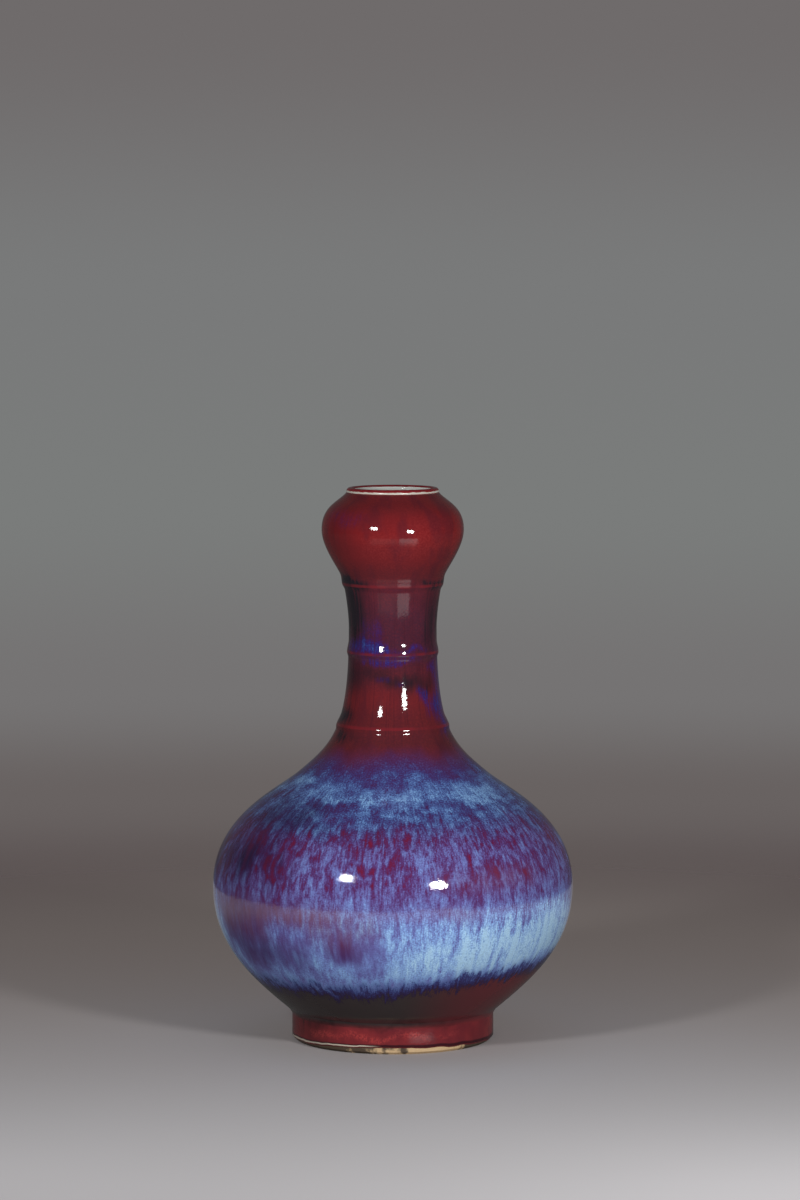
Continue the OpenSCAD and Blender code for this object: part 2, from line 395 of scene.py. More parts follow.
@dataclass(frozen=True, kw_only=True)
class FlambeGlaze(Finish):
    """Copper red glaze with a blue layer that ran down over it in fine fibres.

    Stops by height are in millimetres, other heights in metres. Where a name below holds two levels,
    a smooth step goes from 0 to 1 between them. Where it holds four, the last two take their place.

    Attributes:
        around_r: radius at which the widths of the fibres are true.
        top: height of the vase.
        marks: soft patches of blue, rust, soot with painted shade, and flame.
    """

    around_r: float
    top: float
    marks: dict[Tint, tuple[Mark, ...]]

    # Random fields: strands of the blue layer, and the settings of clouds, specks, flecks and relief
    STRANDS = {
        "slow": Strand(40, 36), "clump": Strand(13, 17, 2, 0.6), "bank": Strand(15, 6.5, 1, 0.3),
        "tongue": Strand(4.4, 9.5, 1, 0.8), "streak": Strand(1.9, 8, 1, 0.3),
        "fibre": Strand(0.7, 4, 2, 0.1), "drawn": Strand(4.4, 44),
    }
    STRAND_ROUGH = 0.55
    CLOUD = (80.0, 3.0, 0.5, 0.6)
    SPECK = (1250.0, 2.0, 0.6)
    FLECK = (1000.0, 3.0, 0.65)
    POURED = (800.0, 2.0, 0.5)
    POURED_DEPTH = 0.00004

    # Edges of the marks: how fine their waves are, how far they go, and where they are calmer
    WAVE = (60.0, 60.0, 24.0)
    WAVE_FIELD = (1.0, 3.0, 0.6)
    WAVE_LIFT = 0.014
    SWAY = 0.8
    CALM_SHARE = 0.3
    CALM_END = (0.072, 0.096)

    # Amount of blue by height, how strongly each field stirs it, and levels above which it is held back
    BANDS = (
        (40, 0.72), (46, 0.80), (52, 0.86), (60, 0.86), (68, 0.80), (76, 0.66), (82, 0.57), (88, 0.50),
        (94, 0.44), (100, 0.41), (106, 0.43), (112, 0.37), (117, 0.32), (120, 0.38), (123, 0.48),
        (126, 0.47), (128.5, 0.42), (132, 0.67), (136, 0.62), (140, 0.47), (144, 0.30), (148, 0.18),
        (158, 0.08),
    )
    GRAIN = {
        "clump": ((45, 0.25), (80, 0.5), (100, 0.8), (122, 0.4), (140, 0.3), (158, 0.0)),
        "bank": ((45, 0.0), (110, 0.2), (120, 0.6), (128, 0.9), (140, 0.8), (150, 0.3), (158, 0.0)),
        "tongue": ((45, 0.2), (76, 0.5), (92, 1.4), (116, 1.4), (126, 0.7), (136, 0.4), (158, 0.0)),
        "streak": ((45, 0.15), (76, 0.4), (92, 0.5), (116, 0.6), (128, 0.4), (136, 0.35), (158, 0.0)),
        "fibre": ((45, 0.35), (80, 0.6), (92, 0.8), (120, 0.9), (130, 0.5), (140, 0.45), (158, 0.2)),
        "drawn": ((45, 0.45), (72, 0.5), (92, 0.2), (120, 0.0)),
        "cloud": ((45, 0.1), (90, 0.2), (122, 0.4), (130, 0.8), (142, 0.8), (158, 0.2)),
        "speck": ((45, 0.35), (80, 0.5), (110, 0.8), (130, 1.2), (152, 1.1), (158, 0.6)),
    }
    HELD_BACK = (
        (0.58, ((72, 0.0), (90, 0.6), (118, 0.6), (126, 0.0))),
        (0.84, ((72, 0.5), (84, 0.0))),
    )

    # Colours from thin to thick blue: on the belly, on the shoulder, on the neck and at the lower edge
    WARM = (
        (0.0, "741e3c"), (0.16, "68224a"), (0.28, "5c2a5c"), (0.40, "573872"), (0.53, "604f8c"),
        (0.65, "6868a8"), (0.75, "7485c4"), (0.84, "82a3dc"), (0.91, "98beec"), (0.97, "aed4f2"),
    )
    WARM_SHARE = (0.84, 0.16)
    COOL = (
        (0.0, "4c2a58"), (0.15, "462e62"), (0.30, "423872"), (0.45, "434b84"), (0.60, "4c629c"),
        (0.75, "5a79b2"), (0.90, "6c92c8"), (1.0, "7ea6d4"),
    )
    COOL_FROM = (0.110, 0.128)
    DEEP = (
        (0.0, "52203c"), (0.25, "461f56"), (0.45, "3a2566"), (0.65, "332f74"), (0.85, "374284"),
        (1.0, "425694"),
    )
    DEEP_FROM = (0.150, 0.164)
    COMBED = ((0.0, "322528"), (0.22, "35264e"), (0.5, "40447e"), (0.78, "5c74b0"), (1.0, "7c9cd2"))
    COMBED_END = (0.55, 1.0)
    # Painted shade: factors that darken the upper belly, between 96 and 138 mm
    PAINTED_SHADE = ((96, 1.0), (112, 0.92), (121, 0.85), (130, 0.95), (138, 1.0))
    DUST = 0.7

    # Lower edge of the blue layer, which climbs to the right and sags at the far left, and its upper end
    EDGE_H = 0.0352
    EDGE_CLIMB = 0.0082
    EDGE_CLIMB_START = -0.05
    EDGE_STEP = (-0.10, 0.12, 0.0, 0.0008)
    EDGE_SAG = (-0.55, -0.9, 0.0, -0.0015)
    EDGE_DEPTH = (-0.006, 0.0105)
    COVER_START = (0.0, 0.2)
    BRIM = (0.159, 0.143)
    BRIM_MARKS = (0.0, 0.42)

    # Rust smears in the blue, soot and painted shade over all, and the worn crests of the ribs
    SMEAR_STRAND = Strand(2.6, 26, 3)
    SMEAR_GAIN = 3.0
    SMEAR_SWAY = 0.25
    RUST = ("4c3268", "703c58")
    RUST_STEP = (0.054, 0.072)
    DRIP_STRAND = Strand(7, 90, 2)
    DRIPS = ((120, 1.6), (150, 3.6), (184, 3.6), (188, 1.0), (197, 1.0), (203, 3.6))
    # Dark tones that the soot and the painted shade go to, by height
    CHAR_BELLY, CHAR_NECK, CHAR_FOOT = "241c3c", "251e26", "211d20"
    CHAR_NECK_FROM = (0.128, 0.150)
    CHAR_FOOT_FROM = (0.045, 0.030)
    CREST = "7c242c"
    CREST_FROM = (0.88, 1.0)
    WEAR_STRAND = Strand(24, 60, 2)
    WEAR = (-0.14, 0.10, 0.25, 0.7)

    # Red ground by height, and a burnt tone under the blue layer that is also painted shade under the belly,
    # darker at the left
    GROUND = (
        (0, "762e33"), (11, "822e33"), (150, "60242c"), (160, "58242a"), (170, "602328"),
        (182, "6c2429"), (194, "54242e"), (206, "472536"), (222, "4b2434"), (238, "5a2430"),
        (244, "5c2228"), (258, "702024"), (267, "7a1f22"), (275, "742024"), (282, "6a2226"),
        (288, "642428"),
    )
    BURNT_AND_SHADE = ("453c3c", "6c2e34")
    BURNT_AND_SHADE_ASIDE = (0.0, 0.75)
    BURNT_AND_SHADE_ZONE = ((0.0125, 0.0165), (0.075, 0.045))

    # What lies in the red ground: flecks, flame, dull clouds, dark runs on the neck, and its drained edge
    FLECK_RED = "962e30"
    FLECKS = (0.40, 0.72, 0.0, 0.18)
    FLAME_RED = "b84644"
    FLAME_FLECKS = (0.36, 0.62)
    DULL_RED = "481e2a"
    DULL_STRAND = Strand(30, 22, 3)
    DULL = (-0.04, 0.16, 0.0, 0.4)
    RUN_DARK = "3c1a24"
    RUN_STRAND = Strand(4, 90, 2)
    RUNS = (0.0, 0.16, 0.0, 0.35)
    RUN_ZONE = ((0.150, 0.175), (0.246, 0.236))
    DRAINED_DARK = "2a141c"
    DRAINED = (0.0016, 0.0008, 0.0, 0.85)
    THIN_PALE = "c9beae"
    THIN = (0.0008, 0.0005)
    THIN_ASIDE = (-0.1, -0.3)

    def lie(self, graph: Graph) -> Lie:
        """Builds the nodes that tell where a point lies.

        Args:
            graph: tree that takes the nodes.

        Returns:
            Their sockets.
        """
        place = self.place(graph)
        x, y, height = graph.split(place)
        heading = graph.vector("NORMALIZE", graph.join(x, y, 0.0))
        aside, ahead, _ = graph.split(heading)
        girth = [graph.times(part, self.around_r) for part in (aside, ahead)]
        return Lie(place, heading, aside, height, (*girth, self.attribute(graph, "run_m")))

    def strands(self, graph: Graph, lie: Lie, strand: Strand) -> Socket:
        """Random field drawn out along the flow.

        Args:
            graph: tree that takes the nodes.
            lie: where a point lies.
            strand: form of its strands.

        Returns:
            The field, round zero.
        """
        sizes = (strand.width, strand.width, strand.length)
        parts = [graph.math("DIVIDE", part, size * MM) for part, size in zip(lie.girth, sizes)]
        return graph.drift(graph.join(*parts), 1.0, strand.detail, self.STRAND_ROUGH, strand.wander)

    def weight(self, graph: Graph, value: Socket, height: Socket, stops: Stops) -> Socket:
        """A field whose strength changes with the height."""
        return graph.times(value, graph.levels(height, self.top, stops, "LINEAR"))

    @staticmethod
    def stirred(graph: Graph, fields: dict[str, Socket], base: Value, **amounts: float) -> Socket:
        """A number that named fields push up and down, each by its amount."""
        return graph.total(base, *(graph.times(fields[name], amount) for name, amount in amounts.items()))

    def patches(self, graph: Graph, lie: Lie, tint: Tint, sway: float = SWAY) -> Socket:
        """Sum of the marks of one tint, with soft wavy edges.

        Args:
            graph: tree that takes the nodes.
            lie: where a point lies.
            tint: which marks count.
            sway: how far the edges wave sideways.

        Returns:
            The tint that the marks bring at each place.
        """
        drawn = graph.vector("MULTIPLY", lie.place, self.WAVE)
        waves = graph.noise(drawn, *self.WAVE_FIELD, output="Color")
        bent = graph.vector("SUBTRACT", waves, (0.5, 0.5, 0.5))
        swing = graph.rise(lie.height, *self.CALM_END, sway * self.CALM_SHARE, sway)
        aslant = graph.vector("MULTIPLY", bent, graph.join(swing, swing, 0.0))
        heading = graph.vector("NORMALIZE", graph.vector("ADD", lie.heading, aslant))
        height = graph.total(lie.height, graph.times(graph.split(bent)[2], self.WAVE_LIFT))
        brought = []
        for mark in self.marks[tint]:
            apart = graph.towards(heading, mark.azimuth)
            inside = graph.rise(apart, math.cos(math.radians(mark.width)), 1.0, 0.0, mark.gain)
            off = graph.math("ABSOLUTE", graph.less(height, mark.height * MM))
            brought.append(graph.times(inside, graph.rise(off, mark.reach * MM, 0.0)))
        return graph.total(*brought)

    def colour(self, graph: Graph) -> Socket:
        """Builds the red ground, the blue flow, the soot with painted shade, and the crests of the ribs.

        Args:
            graph: tree that takes the nodes.

        Returns:
            Their colour.
        """
        lie = self.lie(graph)
        flow, present = self.flow(graph, lie)
        smeared = self.strands(graph, lie, self.SMEAR_STRAND)
        smear = graph.math("MULTIPLY", self.patches(graph, lie, Tint.RUST, self.SMEAR_SWAY),
                           graph.math("MULTIPLY_ADD", smeared, self.SMEAR_GAIN, 1.0), clamp=True)
        rust = graph.blend(graph.rise(lie.height, *self.RUST_STEP), *self.RUST)
        colour = graph.blend(present, self.ground(graph, lie), graph.blend(smear, flow, rust))
        drips = self.weight(graph, self.strands(graph, lie, self.DRIP_STRAND), lie.height, self.DRIPS)
        # Dark marks: dark glaze runs, and painted shade on the sides of the neck, under the ribs and on the
        # left
        soot_and_shade = graph.math("MULTIPLY", self.patches(graph, lie, Tint.SOOT_AND_SHADE), graph.total(1.0, drips),
                          clamp=True)
        soot_and_shade_tone = graph.blend(graph.rise(lie.height, *self.CHAR_NECK_FROM), self.CHAR_BELLY, self.CHAR_NECK)
        soot_and_shade_tone = graph.blend(graph.rise(lie.height, *self.CHAR_FOOT_FROM), soot_and_shade_tone, self.CHAR_FOOT)
        colour = graph.blend(soot_and_shade, colour, soot_and_shade_tone)
        worn = graph.times(graph.rise(self.attribute(graph, "rib"), *self.CREST_FROM),
                           graph.rise(self.strands(graph, lie, self.WEAR_STRAND), *self.WEAR))
        return graph.blend(worn, colour, self.CREST)

    def flow(self, graph: Graph, lie: Lie) -> tuple[Socket, Socket]:
        """Builds the blue layer.

        Args:
            graph: tree that takes the nodes.
            lie: where a point lies.

        Returns:
            Its colour, and how far it covers the ground.
        """
        fields = {name: self.strands(graph, lie, strand) for name, strand in self.STRANDS.items()}
        fields["cloud"] = graph.drift(lie.place, *self.CLOUD)
        fields["speck"] = graph.drift(lie.place, *self.SPECK)
        torn = self.stirred(graph, fields, 1.0, fibre=1.6, speck=1.2, drawn=2.2)
        brought = graph.times(self.patches(graph, lie, Tint.BLUE), torn)
        cover = self.flow_cover(graph, lie, fields)
        brim = self.stirred(graph, fields, lie.height, slow=0.014, cloud=0.010, speck=0.004)
        thick = graph.math("MAXIMUM", graph.rise(brought, *self.BRIM_MARKS), graph.rise(brim, *self.BRIM))
        present = graph.times(graph.rise(cover, *self.COVER_START), thick)
        tone = self.flow_tone(graph, lie, fields, brought)
        combed = graph.ramp(cover, self.COMBED)
        return graph.blend(graph.rise(cover, *self.COMBED_END), combed, tone), present

    def flow_tone(self, graph: Graph, lie: Lie, fields: dict[str, Socket], brought: Socket) -> Socket:
        """Builds the colour of the blue layer away from its lower edge.

        Args:
            graph: tree that takes the nodes.
            lie: where a point lies.
            fields: random fields of the layer.
            brought: blue that the marks bring.

        Returns:
            The colour.
        """
        height = self.stirred(graph, fields, lie.height, slow=0.012, clump=0.016, tongue=0.006)
        bands = graph.levels(height, self.top, self.BANDS)
        grain = [self.weight(graph, fields[name], height, stops) for name, stops in self.GRAIN.items()]
        share = graph.total(bands, brought, graph.total(*grain))
        for level, stops in self.HELD_BACK:
            over = graph.math("MAXIMUM", graph.less(share, level), 0.0)
            share = graph.less(share, self.weight(graph, over, height, stops))
        warm = graph.ramp(graph.math("MULTIPLY_ADD", share, *self.WARM_SHARE), self.WARM)
        tone = graph.blend(graph.rise(height, *self.COOL_FROM), warm, graph.ramp(share, self.COOL))
        tone = graph.blend(graph.rise(lie.height, *self.DEEP_FROM), tone, graph.ramp(share, self.DEEP))
        dusty = graph.math("MULTIPLY_ADD", fields["speck"], self.DUST, 1.0)
        # Painted shade darkens the upper belly by height
        painted_shade = graph.levels(height, self.top, self.PAINTED_SHADE, "LINEAR")
        return graph.vector("MULTIPLY", tone, graph.grey(graph.times(dusty, painted_shade)))

    def flow_cover(self, graph: Graph, lie: Lie, fields: dict[str, Socket]) -> Socket:
        """Builds the ragged lower edge of the blue layer.

        Args:
            graph: tree that takes the nodes.
            lie: where a point lies.
            fields: random fields of the layer.

        Returns:
            How far a place lies within the layer, from 0 at its edge to 1.
        """
        right = graph.math("MAXIMUM", lie.aside, self.EDGE_CLIMB_START)
        step = graph.rise(lie.aside, *self.EDGE_STEP)
        climb = graph.math("MULTIPLY_ADD", right, self.EDGE_CLIMB, step)
        level = graph.total(climb, graph.rise(lie.aside, *self.EDGE_SAG), self.EDGE_H)
        edge = self.stirred(graph, fields, level, streak=0.004, fibre=0.007, tongue=0.010, clump=0.008,
                            speck=0.008)
        return graph.rise(graph.less(lie.height, edge), *self.EDGE_DEPTH)

    def ground(self, graph: Graph, lie: Lie) -> Socket:
        """Builds the red ground: its tone by height, flecks, flame and the dark line at its lower edge.

        Args:
            graph: tree that takes the nodes.
            lie: where a point lies.

        Returns:
            The colour of the ground.
        """
        # Burnt tone under the belly, darker to the left: partly painted shade where little light reaches
        below = graph.between(lie.height, *self.BURNT_AND_SHADE_ZONE)
        clear = graph.less(1.0, below)
        burnt = graph.blend(graph.rise(lie.aside, *self.BURNT_AND_SHADE_ASIDE), *self.BURNT_AND_SHADE)
        flecks = graph.noise(lie.place, *self.FLECK)
        shown = graph.times(graph.rise(flecks, *self.FLECKS), clear)
        lick = graph.times(self.patches(graph, lie, Tint.FLAME), graph.rise(flecks, *self.FLAME_FLECKS))
        dull = graph.times(graph.rise(self.strands(graph, lie, self.DULL_STRAND), *self.DULL), clear)
        runs = graph.times(graph.rise(self.strands(graph, lie, self.RUN_STRAND), *self.RUNS),
                           graph.between(lie.height, *self.RUN_ZONE))
        run = lie.girth[2]
        drained = graph.rise(run, *self.DRAINED)
        thin = graph.times(graph.rise(run, *self.THIN), graph.rise(lie.aside, *self.THIN_ASIDE))
        tone = graph.levels(lie.height, self.top, self.GROUND)
        for share, paint in ((below, burnt), (shown, self.FLECK_RED), (lick, self.FLAME_RED),
                             (dull, self.DULL_RED), (runs, self.RUN_DARK), (drained, self.DRAINED_DARK),
                             (thin, self.THIN_PALE)):
            tone = graph.blend(share, tone, paint)
        return tone

    def relief(self, graph: Graph) -> tuple[Socket, float]:
        """Faint unevenness of the poured glaze."""
        return graph.noise(self.place(graph), *self.POURED), self.POURED_DEPTH


@dataclass(frozen=True)
class DrainedWhite(Finish):
    """White line where the red glaze drained off, with small red tongues at its upper edge.

    Attributes:
        upper: heights between which the red sets in above the line.
        lower: heights between which the red sets in below the line.
        upper_tongue: length of the tongues at the upper edge.
        lower_tongue: length of the tongues at the lower edge.
        whites: darker and paler white.
        red: colour of the tongues.
    """

    gloss: float = 0.22
    upper: Span = (0.28848, 0.28872)
    lower: Span = (0.28778, 0.28762)
    upper_tongue: float = 0.0012
    lower_tongue: float = 0.0003
    whites: tuple[str, str] = ("c2beb2", "d4d1c6")
    red: str = "8a2a28"

    # Settings of the fields for the tongues and for the white
    RAGGED = (420.0, 2.0)
    CLOUDED = (900.0, 2.0)

    def colour(self, graph: Graph) -> Socket:
        """Builds the white with its red edges.

        Args:
            graph: tree that takes the nodes.

        Returns:
            The colour.
        """
        place = self.place(graph)
        height = graph.split(place)[2]
        ragged = graph.drift(place, *self.RAGGED)
        above = graph.rise(graph.math("MULTIPLY_ADD", ragged, self.upper_tongue, height), *self.upper)
        below = graph.rise(graph.math("MULTIPLY_ADD", ragged, self.lower_tongue, height), *self.lower)
        white = graph.blend(graph.noise(place, *self.CLOUDED), *self.whites)
        return graph.blend(graph.math("MAXIMUM", above, below), white, self.red)


@dataclass(frozen=True)
class BareFoot(Finish):
    """Fired clay of the standing ring, with brown burnt stains.

    Attributes:
        clays: darker and paler clay.
        stain: colour of the stains.
        spread: levels of the stains' field between which a stain sets in, and its strengths there.
        left: how much more the left takes the dark brown than the right.
        right_end: sideways directions between which the far right gets the dark brown again, and how
            strongly.
        grain_depth: depth of the clay's grain.
    """

    gloss: float = 0.6
    clays: tuple[str, str] = ("c8a67a", "dcc096")
    stain: str = "30231f"
    spread: tuple[float, ...] = (0.50, 0.62, 0.0, 0.92)
    left: float = 0.35
    right_end: tuple[float, ...] = (0.55, 0.85, 0.0, 0.55)
    grain_depth: float = 0.00006

    # Settings of the fields for the clay, its stains and its grain
    CLOUDED = (700.0, 4.0)
    STAINED = (70.0, 4.0, 0.6)
    GRAIN = (1500.0, 3.0, 0.6)

    def colour(self, graph: Graph) -> Socket:
        """Builds the buff clay and its stains.

        Args:
            graph: tree that takes the nodes.

        Returns:
            The colour.
        """
        place = self.place(graph)
        clay = graph.blend(graph.noise(place, *self.CLOUDED), *self.clays)
        aside = graph.split(graph.vector("NORMALIZE", place))[0]
        leaning = graph.less(graph.rise(aside, *self.right_end), graph.times(aside, self.left))
        stained = graph.total(graph.noise(place, *self.STAINED), leaning)
        return graph.blend(graph.rise(stained, *self.spread), clay, self.stain)

    def relief(self, graph: Graph) -> tuple[Socket, float]:
        """Grain of the turned clay."""
        return graph.noise(self.place(graph), *self.GRAIN), self.grain_depth


@dataclass(frozen=True, kw_only=True)
class Mottled(Finish):
    """A surface of one colour with a faint mottle.

    Attributes:
        dark: darker colour of the mottle.
        pale: paler colour of the mottle.
        scale: how fine the mottle is.
        detail: octaves of the mottle.
    """

    dark: str
    pale: str
    scale: float = 400.0
    detail: float = 4.0

    def colour(self, graph: Graph) -> Socket:
        """Builds the mottle, and returns its colour."""
        return graph.blend(graph.noise(self.place(graph), self.scale, self.detail), self.dark, self.pale)


@dataclass(frozen=True, kw_only=True)
class CrestRed(Mottled):
    """Red glaze on the crest of the lip."""

    dark: str = "66181e"
    pale: str = "92282e"
    scale: float = 500.0
    detail: float = 3.0


@dataclass(frozen=True, kw_only=True)
class LiningWhite(Mottled):
    """Greyish white glaze inside the vase."""

    dark: str = "d2d4d0"
    pale: str = "e2e3de"
    scale: float = 60.0
    detail: float = 3.0


@dataclass(frozen=True, kw_only=True)
class BaseBrown(Mottled):
    """Thin brown glaze in the recess under the foot."""

    dark: str = "8a6440"
    pale: str = "a98458"
    scale: float = 90.0


@dataclass(frozen=True, kw_only=True)
class PlainClay(Mottled):
    """Fired clay that the glazes cover."""

    gloss: float = 0.7
    dark: str = "d8cfbc"
    pale: str = "e9e2d2"


@dataclass(frozen=True, kw_only=True)
class LutingSlip(PlainClay):
    """Fired slip in the joints of the clay."""

    dark: str = "bdb3a1"
    pale: str = "d2c8b6"


def aim(start: Point, angle: float, reach: float) -> Point:
    """The place that lies a reach away at an angle in degrees."""
    turn = math.radians(angle)
    return (start[0] + reach * math.cos(turn), start[1] + reach * math.sin(turn))


def bezier(pull: Sequence[Point], steps: int) -> list[Point]:
    """Points of a cubic curve.

    Args:
        pull: its start, two points that it is pulled to, and its end.
        steps: number of points.

    Returns:
        The points, without the last one.
    """
    made = []
    for i in range(steps):
        t = i / steps
        u = 1 - t
        weights = (u * u * u, 3 * u * u * t, 3 * u * t * t, t * t * t)
        made.append(tuple(sum(w * p[k] for w, p in zip(weights, pull)) for k in (0, 1)))
    return made


def curve(start: Point, leave: float, end: Point, arrive: float, pulls: Span,
          steps: int = 160) -> list[Point]:
    """Points of a curve between two places.

    Args:
        start: place where it begins.
        leave: angle at which it leaves, in degrees.
        end: place where it ends.
        arrive: angle at which it arrives, in degrees.
        pulls: pull at its start and at its end, as shares of the rise.
        steps: number of points.

    Returns:
        The points, without the last one.
    """
    rise = end[1] - start[1]
    first, second = aim(start, leave, pulls[0] * rise), aim(end, arrive + 180.0, pulls[1] * rise)
    return bezier((start, first, second, end), steps)


def normal(path: Sequence[Point], i: int) -> Point:
    """The side that faces right when a path is walked.

    Args:
        path: points of the path.
        i: which point is meant.

    Returns:
        The direction at that point, of length 1.
    """
    a, b = path[max(i - 1, 0)], path[min(i + 1, len(path) - 1)]
    length = math.dist(a, b)
    return ((b[1] - a[1]) / length, -(b[0] - a[0]) / length)


def thinned(path: Sequence[Point], spacing: Callable[[Point], float]) -> list[Point]:
    """A path with its points set further apart.

    Args:
        path: dense path.
        spacing: gives the distance from the point before that a place needs.

    Returns:
        The points that stay, with both ends.
    """
    kept = [path[0]]
    for p in path[1:-1]:
        if math.dist(p, kept[-1]) >= spacing(p):
            kept.append(p)
    return [*kept, path[-1]]


@dataclass(frozen=True)
class Outline:
    """Sizes of the thrown outline, the same as the solids have.

    A place is a radius and a height. Angles are in degrees, those on the lip from its outer side up.

    Attributes:
        foot_r: outer radius of the foot.
        foot_h: height of the corner between the foot and the belly.
        foot_fillet: size of the fillet in that corner.
        foot_wall: thickness of the foot ring.
        foot_splay: how far the ring's inner face opens downwards.
        foot_bevel: bevel of the standing face.
        recess_depth: depth of the recess under the foot.
        bare_h: height of the bare clay above the standing face.
        belly: widest place of the belly.
        shoulder: place where the shoulder turns into the neck.
        waist: narrowest place of the neck.
        head_root: place where the neck turns into the head.
        head: widest place of the head.
        belly_slope: angle at which the belly leaves the foot.
        shoulder_slope: angle of the outline at the shoulder.
        head_slope: angle of the outline at the head's root.
        crown_angle: how steeply the crown of the head meets the lip.
        pulls: pulls of the curves from the foot up, at the start and the end of each.
        top: height of the vase.
        mouth_r: clear radius of the mouth.
        lip_t: thickness of the lip's round bead.
        lip_root: angle on the lip where the outer coat ends.
        line_end: angle on the lip where the white line ends.
        crest_end: angle on the lip where the red crest ends.
        lip_inside: angle of the lip's inner side.
        rib_h: how far a rib stands out.
        rib_above: length of a rib's slope above its crest.
        rib_below: length of a rib's slope below its crest.
        ribs: heights of the crests.
        glaze_t: thickness of the outer glaze.
        lining_t: thickness of the lining.
        base_glaze_t: thickness of the glaze in the recess.
        floor_t: thickness of the floor.
        slip_t: thickness of the slip on the foot ring.
        walls: heights, each with the thickness of the clay wall there.
    """

    foot_r: float = 0.053
    foot_h: float = 0.015
    foot_fillet: float = 0.0016
    foot_wall: float = 0.0065
    foot_splay: float = 0.001
    foot_bevel: float = 0.0012
    recess_depth: float = 0.009
    bare_h: float = 0.0034
    belly: Point = (0.0945, 0.081)
    shoulder: Point = (0.050, 0.140)
    waist: Point = (0.023, 0.217)
    head_root: Point = (0.0266, 0.243)
    head: Point = (0.0372, 0.268)
    belly_slope: float = 40.0
    shoulder_slope: float = 140.0
    head_slope: float = 71.0
    crown_angle: float = 51.0
    pulls: tuple[Span, ...] = ((0.45, 0.46), (0.6, 0.26), (0.32, 0.7), (0.28, 0.2), (0.2, 0.37),
                               (0.64, 0.32))
    top: float = 0.290
    mouth_r: float = 0.0205
    lip_t: float = 0.0037
    lip_root: float = -20.0
    line_end: float = 20.0
    crest_end: float = 150.0
    lip_inside: float = 180.0
    rib_h: float = 0.0008
    rib_above: float = 0.0065
    rib_below: float = 0.003
    ribs: tuple[float, ...] = (0.166, 0.204, 0.2396)
    glaze_t: float = 0.0006
    lining_t: float = 0.0005
    base_glaze_t: float = 0.0004
    floor_t: float = 0.007
    slip_t: float = 0.0008
    walls: tuple[Point, ...] = ((0.015, 0.007), (0.081, 0.0055), (0.140, 0.005), (0.217, 0.0044),
                                (0.268, 0.0042))

    # Steps of the fillet and of the heel, spacing of the inner face, and its room at floor and mouth
    FILLET_STEPS = 24
    HEEL_STEPS = 8
    HOLLOW_STEP = 0.003
    FLOOR_ROOM = 0.003
    LAND_ROOM = 0.0002

    @property
    def lip_core_r(self) -> float:
        """Radius of the clay in the lip's round bead."""
        return (self.lip_t - self.glaze_t - self.lining_t) / 2

    @property
    def lip_centre(self) -> Point:
        """Middle of the lip's round bead."""
        core = self.lip_core_r
        return (self.mouth_r + self.lining_t + core, self.top - self.lip_glaze(UPRIGHT) - core)

    def lip_glaze(self, angle: float) -> float:
        """Thickness of glaze at an angle round the lip."""
        share = (angle - self.lip_root) / (self.lip_inside - self.lip_root)
        return self.glaze_t + (self.lining_t - self.glaze_t) * share

    def lip_point(self, angle: float, glazed: bool = True) -> Point:
        """A place on the lip's round bead, on its glaze or on its clay."""
        reach = self.lip_core_r + (self.lip_glaze(angle) if glazed else 0.0)
        return aim(self.lip_centre, angle, reach)

    def lip_arc(self, start: float, end: float, glazed: bool = True, steps: int = 10) -> list[Point]:
        """Places round the lip's bead between two angles."""
        return [self.lip_point(start + (end - start) * i / steps, glazed) for i in range(steps + 1)]

    def plain(self) -> list[Point]:
        """Dense outer outline from the foot's corner to the lip, without the ribs.

        Returns:
            Points of the outline, from below.
        """
        foot, corner = (self.foot_r, self.foot_h - self.foot_fillet), (self.foot_r, self.foot_h)
        start = aim(corner, self.belly_slope, self.foot_fillet)
        lip = self.lip_point(self.lip_root)
        bends = ((start, self.belly_slope), (self.belly, UPRIGHT), (self.shoulder, self.shoulder_slope),
                 (self.waist, UPRIGHT), (self.head_root, self.head_slope), (self.head, UPRIGHT),
                 (lip, 180.0 - self.crown_angle))
        path = bezier((foot, corner, corner, start), self.FILLET_STEPS)
        for here, there, pulls in zip(bends, bends[1:], self.pulls):
            path += curve(*here, *there, pulls)
        return [*path, lip]

    def rib_share(self, height: float) -> float:
        """Share of a rib's full height that the wall has.

        Args:
            height: height of the place.

        Returns:
            The share, 1 on a crest.
        """
        off = min((height - level for level in self.ribs), key=abs)
        share = off / (self.rib_above if off > 0 else -self.rib_below)
        return (1 + math.cos(math.pi * share)) / 2 if share < 1 else 0.0

    def wall(self, height: float) -> float:
        """Thickness of the clay wall.

        Args:
            height: height of the place.

        Returns:
            The thickness there.
        """
        levels = self.walls
        if height <= levels[0][0]:
            return levels[0][1]
        for (low, thin), (high, thick) in zip(levels, levels[1:]):
            if height <= high:
                return thin + (thick - thin) * (height - low) / (high - low)
        return levels[-1][1]

    def ring_inner_r(self, height: float) -> float:
        """Inner radius of the foot ring at a height."""
        spread = self.foot_splay * (1 - height / self.recess_depth)
        return self.foot_r - self.glaze_t - self.foot_wall + spread

